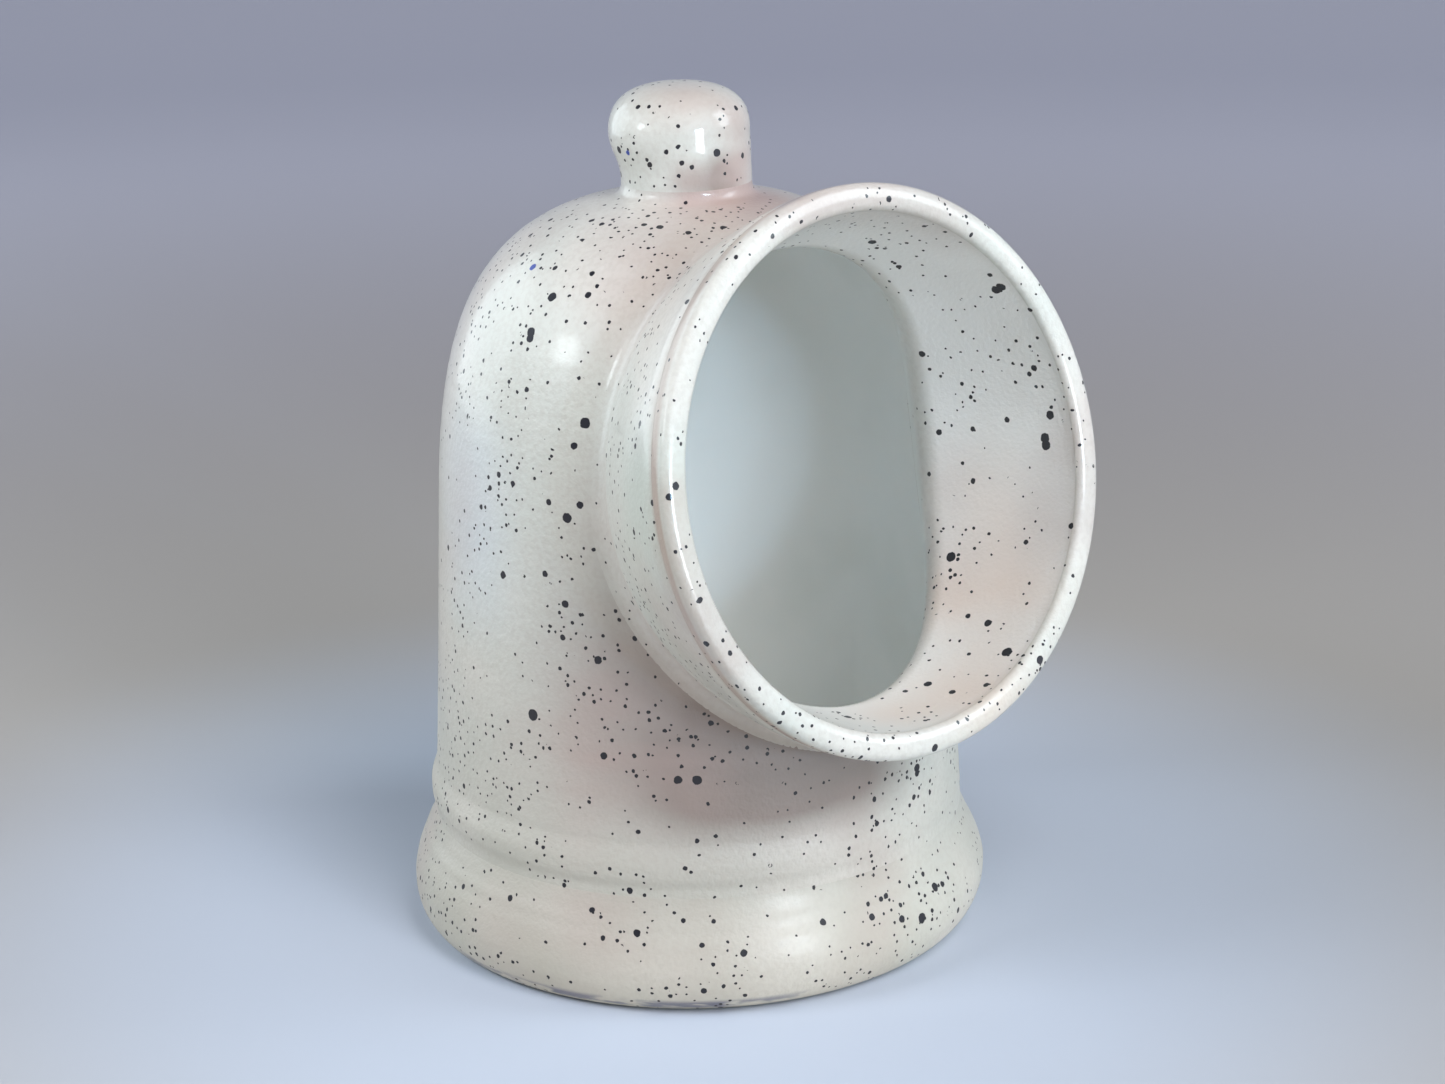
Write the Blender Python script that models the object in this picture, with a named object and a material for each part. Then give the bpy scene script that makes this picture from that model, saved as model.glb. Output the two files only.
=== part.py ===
"""Salt pig of glazed stoneware: a thrown bell with a flared foot, a side mouth and a knob.

Metres, +Z up. The origin is the centre of the face it stands on, and the mouth faces -Y.
The pieces are luted together with slip, so each keeps the slip's film to its neighbours.
"""

import math

import bmesh
import bpy
import numpy as np
from mathutils import Matrix, Vector

# Clay and joints
WALL = 0.0050
FLOOR = 0.0065
SLIP_GAP = 0.0003

# Foot and skirt
FOOT_RADIUS = 0.0552
SKIRT_RADIUS = 0.0602
SKIRT_WIDEST_HEIGHT = 0.0079
SEAM_HEIGHT = 0.0232
SKIRT_FULLNESS = 0.36
SKIRT_DRAW_IN = 0.43
TONGUE_THICKNESS = 0.0020
TONGUE_HEIGHT = 0.0030
FLOOR_FILLET = 0.0060

# Bell
BELL_FOOT_RADIUS = 0.0552
BELL_SHOULDER_RADIUS = 0.0515
SHOULDER_HEIGHT = 0.0928
CROWN_HEIGHT = 0.1517
DOME_SIDE_FULLNESS = 0.65
DOME_TOP_FULLNESS = 0.78
ROLL_PROUD = 0.0011
ROLL_LENGTH = 0.0115

# Mouth collar
COLLAR_TILT = math.radians(13.5)
COLLAR_AXIS_BELOW_CROWN = 0.0606
RIM_DISTANCE = 0.0599
RIM_INNER_RADIUS = 0.0489
LIP_THICKNESS = 0.0053
LIP_BAND = 0.0045
COLLAR_WALL = 0.0048
COLLAR_LENGTH = 0.0360
COLLAR_STRAIGHTNESS = 0.58
MOUTH_MARGIN = 0.0085
COLLAR_SQUEEZE = 0.042

# Knob
KNOB_NECK_RADIUS = 0.0130
KNOB_BULGE_RADIUS = 0.0139
KNOB_BULGE_RISE = 0.0118
KNOB_TOP_RISE = 0.0090
KNOB_FULLNESS = 0.68
KNOB_LEAN = 0.0012
KNOB_LEAN_DIRECTION = math.radians(140.4)

# Coils
COLLAR_COIL_REACH = 0.0032
KNOB_COIL_REACH = 0.0022
SEAM_COIL_HEIGHT = 0.0080
SEAM_COIL_PROUD = 0.0020
COIL_HOLLOW = 0.72

# Fineness of the facets
TURN_STEPS = 48
KNOB_TURN_STEPS = 32
SIDE_STEPS = 7
ROUND_STEPS = 8
CURVE_STEPS = 6
COIL_STEPS = 4
DOME_STEPS = 14
MEASURING_STEPS = 160
SEARCH_HALVINGS = 40
WELD = 1e-7

for leftover in list(bpy.data.objects):
    bpy.data.objects.remove(leftover)


def fired_glaze(name, colour, roughness):
    """Glazed stoneware of one colour."""
    material = bpy.data.materials.new(name)
    material.use_nodes = True
    shader = material.node_tree.nodes["Principled BSDF"]
    shader.inputs["Base Color"].default_value = (*colour, 1)
    shader.inputs["Roughness"].default_value = roughness
    shader.inputs["Metallic"].default_value = 0
    material.diffuse_color = (*colour, 1)
    return material


def clay_piece(name, shape, parent, material=None):
    """An object from a finished bmesh. Without a material it is a cutter, which isn't shown."""
    mesh = bpy.data.meshes.new(name)
    shape.to_mesh(mesh)
    shape.free()
    mesh.shade_smooth()
    mesh.set_sharp_from_angle(angle=math.radians(35))
    piece = bpy.data.objects.new(name, mesh)
    bpy.context.scene.collection.objects.link(piece)
    piece.parent = parent
    if material is None:
        piece.hide_render = True
        piece.display_type = "WIRE"
    else:
        mesh.materials.append(material)
    return piece


def cut(piece, cutter):
    """Takes the cutter's space out of a piece."""
    knife = piece.modifiers.new("cut", "BOOLEAN")
    knife.operation = "DIFFERENCE"
    knife.solver = "EXACT"
    knife.object = cutter


def turned(outline, steps=TURN_STEPS, ring=False):
    """A solid turned about +Z from (radius, height) points; a ring's outline closes on itself."""
    shape = bmesh.new()
    points = [shape.verts.new((radius, 0, height)) for radius, height in outline]
    edges = [shape.edges.new(pair) for pair in zip(points, points[1:])]
    if ring:
        edges.append(shape.edges.new((points[-1], points[0])))
    bmesh.ops.spin(
        shape,
        geom=points + edges,
        cent=(0, 0, 0),
        axis=(0, 0, 1),
        angle=math.tau,
        steps=steps,
        use_merge=True,
    )
    bmesh.ops.remove_doubles(shape, verts=shape.verts, dist=WELD)
    bmesh.ops.holes_fill(shape, edges=shape.edges)
    bmesh.ops.recalc_face_normals(shape, faces=shape.faces)
    return shape


def bezier(start, start_pull, end_pull, end, steps):
    """Points along a cubic curve from start to end, both included."""
    share = np.linspace(0, 1, steps + 1)[:, None]
    rest = 1 - share
    pulled = 3 * rest**2 * share * np.array(start_pull) + 3 * rest * share**2 * np.array(end_pull)
    return rest**3 * np.array(start) + pulled + share**3 * np.array(end)


def arc(centre, radii, start, end, steps):
    """Points along an ellipse's arc between two angles, both included."""
    angle = np.linspace(start, end, steps + 1)
    return np.stack(
        [centre[0] + radii[0] * np.cos(angle), centre[1] + radii[1] * np.sin(angle)], axis=1
    )


def hollow_corner(corner, first, last):
    """Points of a coil's face, thumbed hollow, from one clay face to the other across a corner."""
    corner, first, last = (np.array(point) for point in (corner, first, last))
    pull = (first + last) / 2 + COIL_HOLLOW * (corner - (first + last) / 2)
    return bezier(first, first + 2 / 3 * (pull - first), last + 2 / 3 * (pull - last), last, COIL_STEPS)


def wall_radius(height):
    """The bell's outside radius on its straight taper, without the roll at its foot."""
    share = (height - SEAM_HEIGHT) / (SHOULDER_HEIGHT - SEAM_HEIGHT)
    return BELL_FOOT_RADIUS + share * (BELL_SHOULDER_RADIUS - BELL_FOOT_RADIUS)


def dome_outline(steps):
    """The bell's outside from its shoulder to the crown."""
    rise = CROWN_HEIGHT - SHOULDER_HEIGHT
    pull = SHOULDER_HEIGHT + DOME_SIDE_FULLNESS * rise
    return bezier(
        (BELL_SHOULDER_RADIUS, SHOULDER_HEIGHT),
        (wall_radius(pull), pull),
        (DOME_TOP_FULLNESS * BELL_SHOULDER_RADIUS, CROWN_HEIGHT),
        (0, CROWN_HEIGHT),
        steps,
    )


def bell_outline(roll_steps=CURVE_STEPS, dome_steps=DOME_STEPS):
    """The bell's outside from its foot, over the soft roll above the seam, to the crown."""
    climb = np.linspace(0, ROLL_LENGTH, roll_steps + 1)
    roll = ROLL_PROUD * np.sin(math.pi * climb / ROLL_LENGTH) ** 2
    foot = np.stack([wall_radius(SEAM_HEIGHT + climb) + roll, SEAM_HEIGHT + climb], axis=1)
    return np.concatenate([foot, dome_outline(dome_steps)])


def moved_out(outline, distance):
    """An outline that climbs to a pole on the axis, moved outwards along its normals."""
    along = np.gradient(outline, axis=0)
    outward = np.stack([along[:, 1], -along[:, 0]], axis=1)
    outward /= np.linalg.norm(outward, axis=1)[:, None]
    outward[-1] = (0, 1)
    return outline + distance * outward


def beside_bell(radius, height):
    """The place on the bell's outline nearest to a point, its normal, and the distance outside."""
    outline = bell_outline(MEASURING_STEPS, MEASURING_STEPS)
    start = outline[:-1]
    along = outline[1:] - start
    length = np.linalg.norm(along, axis=1)
    point = np.array([radius, height])
    share = np.clip(np.sum((point - start) * along, axis=1) / length**2, 0, 1)
    place = start + share[:, None] * along
    best = np.argmin(np.linalg.norm(point - place, axis=1))
    normal = np.array([along[best, 1], -along[best, 0]]) / length[best]
    return place[best], normal, float((point - place[best]) @ normal)


def outside_bell(point):
    """How far a point lies outside the bell."""
    return beside_bell(math.hypot(point.x, point.y), point.z)[2]


def laid_on_bell(point):
    """The nearest place to a point that keeps the slip's film to the bell, and the normal there."""
    place, normal, _ = beside_bell(math.hypot(point.x, point.y), point.z)
    around = math.atan2(point.y, point.x)
    turn = Matrix.Rotation(around, 3, "Z")
    radius, height = place + SLIP_GAP * normal
    return turn @ Vector((radius, 0, height)), turn @ Vector((normal[0], 0, normal[1]))


def collar_axis_height():
    """The height at which the collar's axis crosses the bell's."""
    return CROWN_HEIGHT - COLLAR_AXIS_BELOW_CROWN


def collar_radius(along, inside=False):
    """The collar's radius at a distance along its axis, without the lip."""
    root = wall_radius(collar_axis_height()) - WALL - MOUTH_MARGIN
    share = np.clip((RIM_DISTANCE - LIP_BAND - along) / (COLLAR_LENGTH - LIP_BAND), 0, 1)
    drawn_in = COLLAR_STRAIGHTNESS * share + (1 - COLLAR_STRAIGHTNESS) * share**2
    thickness = 0 if inside else COLLAR_WALL
    return RIM_INNER_RADIUS - (RIM_INNER_RADIUS - root) * drawn_in + thickness


def collar_narrowing(along):
    """How much narrower the collar is sideways, where it was pressed onto the bell's round wall."""
    return 1 - COLLAR_SQUEEZE * min(max((RIM_DISTANCE - along) / COLLAR_LENGTH, 0), 1)


def squeezed(shape):
    """A turned shape about the collar's axis, pressed narrower towards its root."""
    for point in shape.verts:
        point.co.x *= collar_narrowing(point.co.z)
    return shape


def collar_side(start, end, steps, inside=False):
    """Points of the collar's side between two places along its axis."""
    along = np.linspace(start, end, steps + 1)
    return np.stack([collar_radius(along, inside), along], axis=1)


def base_dish(root):
    """Thrown floor with a flared skirt, whose rim has a gallery inside that the bell sits in."""
    chamber = BELL_FOOT_RADIUS - WALL
    gallery_radius = chamber + TONGUE_THICKNESS + SLIP_GAP
    ledge = SEAM_HEIGHT - TONGUE_HEIGHT
    rise = SEAM_HEIGHT - SKIRT_WIDEST_HEIGHT
    flare = SKIRT_RADIUS - BELL_FOOT_RADIUS
    edge = arc(
        (FOOT_RADIUS, SKIRT_WIDEST_HEIGHT),
        (SKIRT_RADIUS - FOOT_RADIUS, SKIRT_WIDEST_HEIGHT),
        -math.pi / 2,
        0,
        CURVE_STEPS,
    )
    skirt = bezier(
        (SKIRT_RADIUS, SKIRT_WIDEST_HEIGHT),
        (SKIRT_RADIUS, SKIRT_WIDEST_HEIGHT + SKIRT_FULLNESS * rise),
        (BELL_FOOT_RADIUS + SKIRT_DRAW_IN * flare, SEAM_HEIGHT - SKIRT_FULLNESS * rise),
        (BELL_FOOT_RADIUS, SEAM_HEIGHT),
        CURVE_STEPS,
    )
    gallery = [(gallery_radius, SEAM_HEIGHT), (gallery_radius, ledge), (chamber, ledge)]
    corner = arc(
        (chamber - FLOOR_FILLET, FLOOR + FLOOR_FILLET),
        (FLOOR_FILLET, FLOOR_FILLET),
        0,
        -math.pi / 2,
        COIL_STEPS,
    )
    shape = turned(np.concatenate([edge, skirt[1:], gallery, corner]))
    return clay_piece("base_dish", shape, root, fired_glaze("base_dish_glaze", (0.60, 0.56, 0.51), 0.34))


def bell_body(root, mouth):
    """Thrown wall closed into a dome, with a tongue at its foot and the mouth hole in its side."""
    chamber = BELL_FOOT_RADIUS - WALL
    foot = SEAM_HEIGHT + SLIP_GAP
    tongue_bottom = foot - TONGUE_HEIGHT
    outside = bell_outline()
    outside[0, 1] = foot
    inside = moved_out(dome_outline(DOME_STEPS), -WALL)[::-1]
    tongue = [
        (chamber, foot),
        (chamber, tongue_bottom),
        (chamber + TONGUE_THICKNESS, tongue_bottom),
        (chamber + TONGUE_THICKNESS, foot),
    ]
    shape = turned(np.concatenate([outside, inside, tongue]), ring=True)
    bell = clay_piece("bell_body", shape, root, fired_glaze("bell_body_glaze", (0.66, 0.63, 0.58), 0.30))
    passage = collar_side(
        RIM_DISTANCE - LIP_BAND, RIM_DISTANCE - COLLAR_LENGTH, 2 * SIDE_STEPS, inside=True
    )
    start = [(RIM_INNER_RADIUS, RIM_DISTANCE + LIP_THICKNESS)]
    end = [(collar_radius(0, inside=True), COLLAR_WALL)]
    hole = squeezed(turned(np.concatenate([start, passage, end])))
    cut(bell, clay_piece("mouth_cutter", hole, mouth))
    return bell


def bell_envelope(root):
    """The bell's outside grown by the slip's film, to cut the seats of the pieces luted onto it."""
    grown = moved_out(bell_outline(), SLIP_GAP)
    return clay_piece("bell_envelope", turned(grown), root)


def mouth_collar(mouth, envelope):
    """Thrown ring like a bowl without its bottom, saddle-cut to the bell, with a rolled lip."""
    lip_radius = LIP_THICKNESS / 2
    tail = COLLAR_WALL
    sweep_end = RIM_DISTANCE - COLLAR_LENGTH
    band_back = RIM_DISTANCE - LIP_BAND
    inside = collar_side(sweep_end, band_back, SIDE_STEPS, inside=True)
    lip_centre = (RIM_INNER_RADIUS + lip_radius, RIM_DISTANCE)
    lip = arc(lip_centre, (lip_radius, lip_radius), math.pi, 0, ROUND_STEPS)
    band = [(RIM_INNER_RADIUS + LIP_THICKNESS, band_back)]
    outside = collar_side(band_back - lip_radius / 2, sweep_end, SIDE_STEPS)
    tail_inside = [(collar_radius(tail, inside=True), tail)]
    tail_outside = [(collar_radius(tail), tail)]
    outline = np.concatenate([tail_inside, inside, lip, band, outside, tail_outside])
    glaze = fired_glaze("mouth_collar_glaze", (0.66, 0.62, 0.57), 0.28)
    collar = clay_piece("mouth_collar", squeezed(turned(outline, ring=True)), mouth, glaze)
    cut(collar, envelope)
    return collar


def collar_coil(root, mouth):
    """Rolled coil worked into the outer corner between the collar and the bell."""
    place = mouth.matrix_world

    def on_collar(turn, along):
        radius = float(collar_radius(along)) + SLIP_GAP
        across = radius * math.cos(turn) * collar_narrowing(along)
        return place @ Vector((across, radius * math.sin(turn), along))

    def corner_along(turn):
        inner = COLLAR_WALL
        outer = RIM_DISTANCE
        for _ in range(SEARCH_HALVINGS):
            middle = (inner + outer) / 2
            if outside_bell(on_collar(turn, middle)) < SLIP_GAP:
                inner = middle
            else:
                outer = middle
        return outer

    turns = [math.tau * step / TURN_STEPS for step in range(TURN_STEPS)]
    seats = [corner_along(turn) for turn in turns]
    corners = [on_collar(turn, along) for turn, along in zip(turns, seats)]
    shape = bmesh.new()
    rings = []
    for step, (turn, along) in enumerate(zip(turns, seats)):
        corner = corners[step]
        seam = corners[(step + 1) % TURN_STEPS] - corners[step - 1]
        _, normal = laid_on_bell(corner)
        away = seam.cross(normal).normalized()
        on_bell, _ = laid_on_bell(corner + COLLAR_COIL_REACH * away)
        face = hollow_corner(corner, on_collar(turn, along + COLLAR_COIL_REACH), on_bell)
        rings.append([shape.verts.new(point) for point in (corner, *face)])
    for ring, following in zip(rings, rings[1:] + rings[:1]):
        for point in range(len(ring)):
            after = (point + 1) % len(ring)
            shape.faces.new((ring[point], ring[after], following[after], following[point]))
    bmesh.ops.recalc_face_normals(shape, faces=shape.faces)
    glaze = fired_glaze("collar_coil_glaze", (0.62, 0.57, 0.53), 0.30)
    return clay_piece("collar_coil", shape, root, glaze)


def dome_height(radius):
    """The height of the bell's outside at a radius on its dome."""
    dome = dome_outline(MEASURING_STEPS)[::-1]
    return float(np.interp(radius, dome[:, 0], dome[:, 1]))


def knob(root, envelope):
    """Solid lump of clay that leans a little, hollowed below to sit on the dome."""
    neck_top = dome_height(KNOB_NECK_RADIUS) + KNOB_COIL_REACH + 2 * SLIP_GAP
    bulge = CROWN_HEIGHT + KNOB_BULGE_RISE
    top = bulge + KNOB_TOP_RISE
    below = dome_height(KNOB_NECK_RADIUS) - WALL
    neck = (KNOB_NECK_RADIUS, neck_top)
    swell = bezier(
        neck,
        (KNOB_NECK_RADIUS, (neck_top + bulge) / 2),
        (KNOB_BULGE_RADIUS, (neck_top + bulge) / 2),
        (KNOB_BULGE_RADIUS, bulge),
        COIL_STEPS,
    )
    crown = bezier(
        (KNOB_BULGE_RADIUS, bulge),
        (KNOB_BULGE_RADIUS, bulge + KNOB_FULLNESS * (top - bulge)),
        (KNOB_FULLNESS * KNOB_BULGE_RADIUS, top),
        (0, top),
        ROUND_STEPS,
    )
    outline = np.concatenate([[(KNOB_NECK_RADIUS, below)], swell, crown[1:]])
    shape = turned(outline, KNOB_TURN_STEPS)
    lean = KNOB_LEAN * Vector((math.cos(KNOB_LEAN_DIRECTION), math.sin(KNOB_LEAN_DIRECTION), 0))
    for point in shape.verts:
        share = min(max((point.co.z - neck_top) / (bulge - neck_top), 0), 1)
        point.co += lean * share * share * (3 - 2 * share)
    glaze = fired_glaze("knob_glaze", (0.68, 0.64, 0.58), 0.26)
    lump = clay_piece("knob", shape, root, glaze)
    cut(lump, envelope)
    return lump


def knob_coil(root):
    """Small rolled coil worked into the corner round the knob's neck."""
    inner = KNOB_NECK_RADIUS + SLIP_GAP
    outer = inner + KNOB_COIL_REACH
    corner = (inner, dome_height(inner) + SLIP_GAP)
    on_neck = (inner, corner[1] + KNOB_COIL_REACH)
    on_dome = (outer, dome_height(outer) + SLIP_GAP)
    outline = np.concatenate([[corner], hollow_corner(corner, on_dome, on_neck)])
    shape = turned(outline, KNOB_TURN_STEPS, ring=True)
    return clay_piece("knob_coil", shape, root, fired_glaze("knob_coil_glaze", (0.58, 0.52, 0.47), 0.30))


def base_seam_coil(root):
    """Rolled coil pressed over the seam of bell and dish on the inside."""
    middle = SEAM_HEIGHT - TONGUE_HEIGHT
    bottom = middle - SEAM_COIL_HEIGHT / 2
    top = middle + SEAM_COIL_HEIGHT / 2
    low = BELL_FOOT_RADIUS - WALL - SLIP_GAP
    high = min(low, wall_radius(top) - WALL - SLIP_GAP)
    half = SEAM_COIL_HEIGHT / 2
    front = arc((high, middle), (SEAM_COIL_PROUD, half), math.pi / 2, 3 * math.pi / 2, CURVE_STEPS)
    outline = np.concatenate([[(low, bottom)], front[:-1]])
    shape = turned(outline, ring=True)
    glaze = fired_glaze("base_seam_coil_glaze", (0.55, 0.57, 0.57), 0.30)
    return clay_piece("base_seam_coil", shape, root, glaze)


salt_pig = bpy.data.objects.new("salt_pig", None)
bpy.context.scene.collection.objects.link(salt_pig)

mouth_axis = bpy.data.objects.new("mouth_axis", None)
bpy.context.scene.collection.objects.link(mouth_axis)
mouth_axis.parent = salt_pig
mouth_axis.location = (0, 0, collar_axis_height())
mouth_axis.rotation_euler = (math.pi / 2 - COLLAR_TILT, 0, 0)
bpy.context.view_layer.update()

seat_cutter = bell_envelope(salt_pig)
base_dish(salt_pig)
base_seam_coil(salt_pig)
bell_body(salt_pig, mouth_axis)
mouth_collar(mouth_axis, seat_cutter)
collar_coil(salt_pig, mouth_axis)
knob(salt_pig, seat_cutter)
knob_coil(salt_pig)
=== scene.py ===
import math

import bmesh
import bpy
import numpy as np
from mathutils import Matrix, Vector
from mathutils.bvhtree import BVHTree


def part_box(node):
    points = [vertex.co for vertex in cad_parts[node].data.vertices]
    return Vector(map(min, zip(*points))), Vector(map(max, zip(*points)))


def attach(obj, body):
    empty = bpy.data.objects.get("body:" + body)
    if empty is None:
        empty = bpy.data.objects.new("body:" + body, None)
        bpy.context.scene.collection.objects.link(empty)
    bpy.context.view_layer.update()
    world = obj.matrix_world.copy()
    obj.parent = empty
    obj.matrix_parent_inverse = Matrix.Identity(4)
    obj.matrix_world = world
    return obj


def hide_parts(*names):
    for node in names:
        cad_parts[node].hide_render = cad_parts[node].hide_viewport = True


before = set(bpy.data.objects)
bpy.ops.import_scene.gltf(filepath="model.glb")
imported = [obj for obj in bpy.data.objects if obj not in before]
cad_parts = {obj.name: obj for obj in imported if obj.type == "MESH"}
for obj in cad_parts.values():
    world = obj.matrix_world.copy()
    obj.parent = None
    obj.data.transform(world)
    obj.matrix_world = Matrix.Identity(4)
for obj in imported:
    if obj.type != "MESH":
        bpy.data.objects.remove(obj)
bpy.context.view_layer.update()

# Camera: it stands where the photograph was taken, a little above the mouth and to its left.
# Its place, turn and lens were fitted to the foot, the rim and the outline of the pot.
PHOTO_WIDTH = 1445
PHOTO_HEIGHT = 1084
CAMERA_PLACE = Vector((-0.34568, -0.42798, 0.24800))
CAMERA_TURN = math.radians(-39.543)
CAMERA_DROP = math.radians(17.171)
CAMERA_ROLL = math.radians(-0.964)
CAMERA_LENS = 69.66
FILM_WIDTH = 36.0

camera = bpy.data.objects.new("photo_camera", bpy.data.cameras.new("photo_camera"))
camera.data.lens = CAMERA_LENS
camera.data.sensor_width = FILM_WIDTH
camera.matrix_world = (
    Matrix.Translation(CAMERA_PLACE)
    @ Matrix.Rotation(CAMERA_TURN, 4, "Z")
    @ Matrix.Rotation(math.pi / 2 - CAMERA_DROP, 4, "X")
    @ Matrix.Rotation(CAMERA_ROLL, 4, "Z")
)
bpy.context.scene.collection.objects.link(camera)
bpy.context.scene.camera = camera
bpy.context.scene.view_settings.view_transform = "Standard"


def sight(across, down):
    """The direction in which the camera sees a pixel of the photograph."""
    film = FILM_WIDTH / PHOTO_WIDTH
    right = (across - PHOTO_WIDTH / 2) * film
    up = (PHOTO_HEIGHT / 2 - down) * film
    return (camera.matrix_world.to_3x3() @ Vector((right, up, -CAMERA_LENS))).normalized()


# Base dish: a thrown stoneware floor with a flared skirt, glazed outside in the speckled glaze and
# inside in the plain liner. The bell stands in its rim, and the foot is wiped bare of glaze.
SKIRT_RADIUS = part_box("base_dish")[1].x
SEAM_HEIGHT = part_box("base_dish")[1].z
FOOT_RADIUS = 0.0552
FOOT_RADIUS_ROUNDED = 0.0536
WIDEST_HEIGHT = 0.0079
WIDEST_HEIGHT_ROUNDED = 0.0088
SEAM_RADIUS = 0.0552
SKIRT_FULLNESS = 0.36
SKIRT_DRAW_IN = 0.43
SKIRT_DRAW_IN_ROUNDED = 0.10
FLOOR = 0.0065
FLOOR_FILLET = 0.0060
WALL = 0.0050
TONGUE_THICKNESS = 0.0020
TONGUE_HEIGHT = 0.0030
CREASE_SIDE = math.radians(160)
FOOT_GROOVE = 0.00012
FOOT_GROOVE_PITCH = 0.0031
FOOT_FLAT_EDGE = 0.125
CALM_HEIGHT = 0.004
UNEVEN = 0.00010
UNEVEN_FINE = 0.00006
RING_PITCH = 0.0043
RING_PITCH_FINE = 0.0029
RING_DEPTH = 0.000012
RING_DEPTH_AT_SEAM = 0.000030
SEAM_REACH = 0.010
TURN_STEPS = 256
WELD = 1e-7
FLAT_ANGLE = math.radians(40)
MILLIMETRES = 1000

around = np.arange(TURN_STEPS) * math.tau / TURN_STEPS


class Shade:
    """A socket in a material's nodes. Sums written with it add their Math nodes."""

    def __init__(self, socket):
        self.socket = socket

    def node(self, kind, settings=None, sockets=None, output=0):
        """Adds a node of a kind, with its settings first and then its sockets' values or links."""
        tree = self.socket.id_data
        made = tree.nodes.new("ShaderNode" + kind)
        for name, value in (settings or {}).items():
            setattr(made, name, value)
        for name, value in (sockets or {}).items():
            if isinstance(value, Shade):
                tree.links.new(value.socket, made.inputs[name])
            else:
                made.inputs[name].default_value = value
        return Shade(made.outputs[output])

    def math(self, operation, *values, clamp=False):
        settings = {"operation": operation, "use_clamp": clamp}
        return self.node("Math", settings, dict(enumerate(values)))

    def __add__(self, other):
        return self.math("ADD", self, other)

    __radd__ = __add__

    def __sub__(self, other):
        return self.math("SUBTRACT", self, other)

    def __rsub__(self, other):
        return self.math("SUBTRACT", other, self)

    def __mul__(self, other):
        return self.math("MULTIPLY", self, other)

    __rmul__ = __mul__

    def __pow__(self, power):
        return self.math("POWER", self, power)

    def __lt__(self, other):
        return self.math("LESS_THAN", self, other)

    def over(self, other):
        """The larger of two values."""
        return self.math("MAXIMUM", self, other)

    def clamped(self):
        return self.math("ADD", self, 0, clamp=True)

    def fade(self, start, end):
        """0 at start and 1 at end, smoothly in between."""
        limits = {"Value": self, "From Min": start, "From Max": end}
        return self.node("MapRange", {"interpolation_type": "SMOOTHSTEP"}, limits)

    def tint(self, low, high):
        """A colour that goes from one at 0 to another at 1."""
        settings = {"data_type": "RGBA", "clamp_factor": True}
        return self.node("Mix", settings, {0: self, 6: low, 7: high}, output=2)

    def vector(self, operation, *values, output=0, **sockets):
        sockets = {**dict(enumerate(values)), **sockets}
        return self.node("VectorMath", {"operation": operation}, sockets, output)

    def dot(self, direction):
        """How far this place lies along a direction."""
        return self.vector("DOT_PRODUCT", self, direction, output="Value")

    def length(self):
        return self.vector("LENGTH", self, output="Value")

    def distance(self, centre):
        return self.vector("DISTANCE", self, tuple(centre), output="Value")

    def height(self):
        return self.node("SeparateXYZ", None, {0: self}, "Z")

    def noise(self, size, detail=2.0, output=0):
        """Soft noise whose lumps are about as large as size, at this place."""
        return self.node("TexNoise", None, {"Vector": self, "Scale": 1 / size, "Detail": detail}, output)


def linear(red, green, blue):
    """A colour as seen on a screen, 0 to 255, as the renderer's own values."""
    share = np.array([red, green, blue]) / 255
    value = np.where(share <= 0.04045, share / 12.92, ((share + 0.055) / 1.055) ** 2.4)
    return (*value.tolist(), 1.0)


def new_glaze(name):
    """A material, its shader's sockets and the place on the clay in millimetres."""
    material = bpy.data.materials.new(name)
    material.use_nodes = True
    tree = material.node_tree
    shader = tree.nodes["Principled BSDF"]
    clay = Shade(tree.nodes.new("ShaderNodeTexCoord").outputs["Object"])
    return material, shader.inputs, clay.vector("SCALE", clay, Scale=MILLIMETRES)


def feed(socket, shade):
    """Links a value to a socket of the shader."""
    socket.id_data.links.new(shade.socket, socket)


CREAM = linear(220, 217, 211)
CREAM_THICK = linear(212, 214, 208)
CREAM_THIN = linear(192, 187, 180)
# Pink of glaze blush; under the collar and round the knob's neck it is also laid as painted warm shade.
BLUSH_AND_SHADE_PINK = linear(184, 163, 157)
IRON = linear(26, 25, 33)
IRON_HALO = linear(128, 108, 104)
COBALT = linear(34, 62, 156)
LINER = linear(234, 235, 232)
RAGGED = 0.20
RAGGED_SIZE = 0.85
SPECK_EDGE = 5.0
SPECK_EDGE_FINE = 0.5
SPECK_DEPTH = 0.35
FAINTEST_SPECK = 0.75
CLUSTER_SIZE = 16.0
LONE_SPECKS = 0.35
CLUSTERED_SPECKS = 1.3
FINE_SPECKS = {"cell": 2.1, "share": 0.45, "smallest": 0.20, "largest": 0.41, "shift": (11, 5, 3)}
MEDIUM_SPECKS = {"cell": 4.2, "share": 0.15, "smallest": 0.36, "largest": 0.62, "shift": (3, 17, 29)}
LARGE_SPECKS = {"cell": 11.0, "share": 0.6, "smallest": 0.7, "largest": 1.2, "shift": (23, 7, 13)}
MOTTLE_SIZE = 30.0
CLOUD_SIZE = 38.0
CLOUD_SHIFT = (70, 20, 40)
GRAIN_SIZE = 1.1
GRAIN_COVER = 0.25
CLOUD_BLUSH = 0.30
HALO_COVER = 0.45
ROUGHNESS = 0.42
STREAK_SIZE = 6.0
STREAK_STRETCH = (0.25, 0.25, 1.6)
PEEL_SIZE = 0.9
PEEL_WAVE_SIZE = 5.0
PEEL_WAVE = 0.6
PEEL_DEPTH = 0.00022
PEEL_PER_SOFTNESS = 4
TO_CAMERA = Vector((CAMERA_PLACE.x, CAMERA_PLACE.y, 0)).normalized()


def uneven_place(place, size, amount):
    """The place moved about a little, so that what is drawn with it gets an uneven outline."""
    ragged = place.noise(size, 1.0, output=1)
    ragged = ragged.vector("MULTIPLY_ADD", ragged, (2 * amount,) * 3, (-amount,) * 3)
    return place.vector("ADD", place, ragged)


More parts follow.
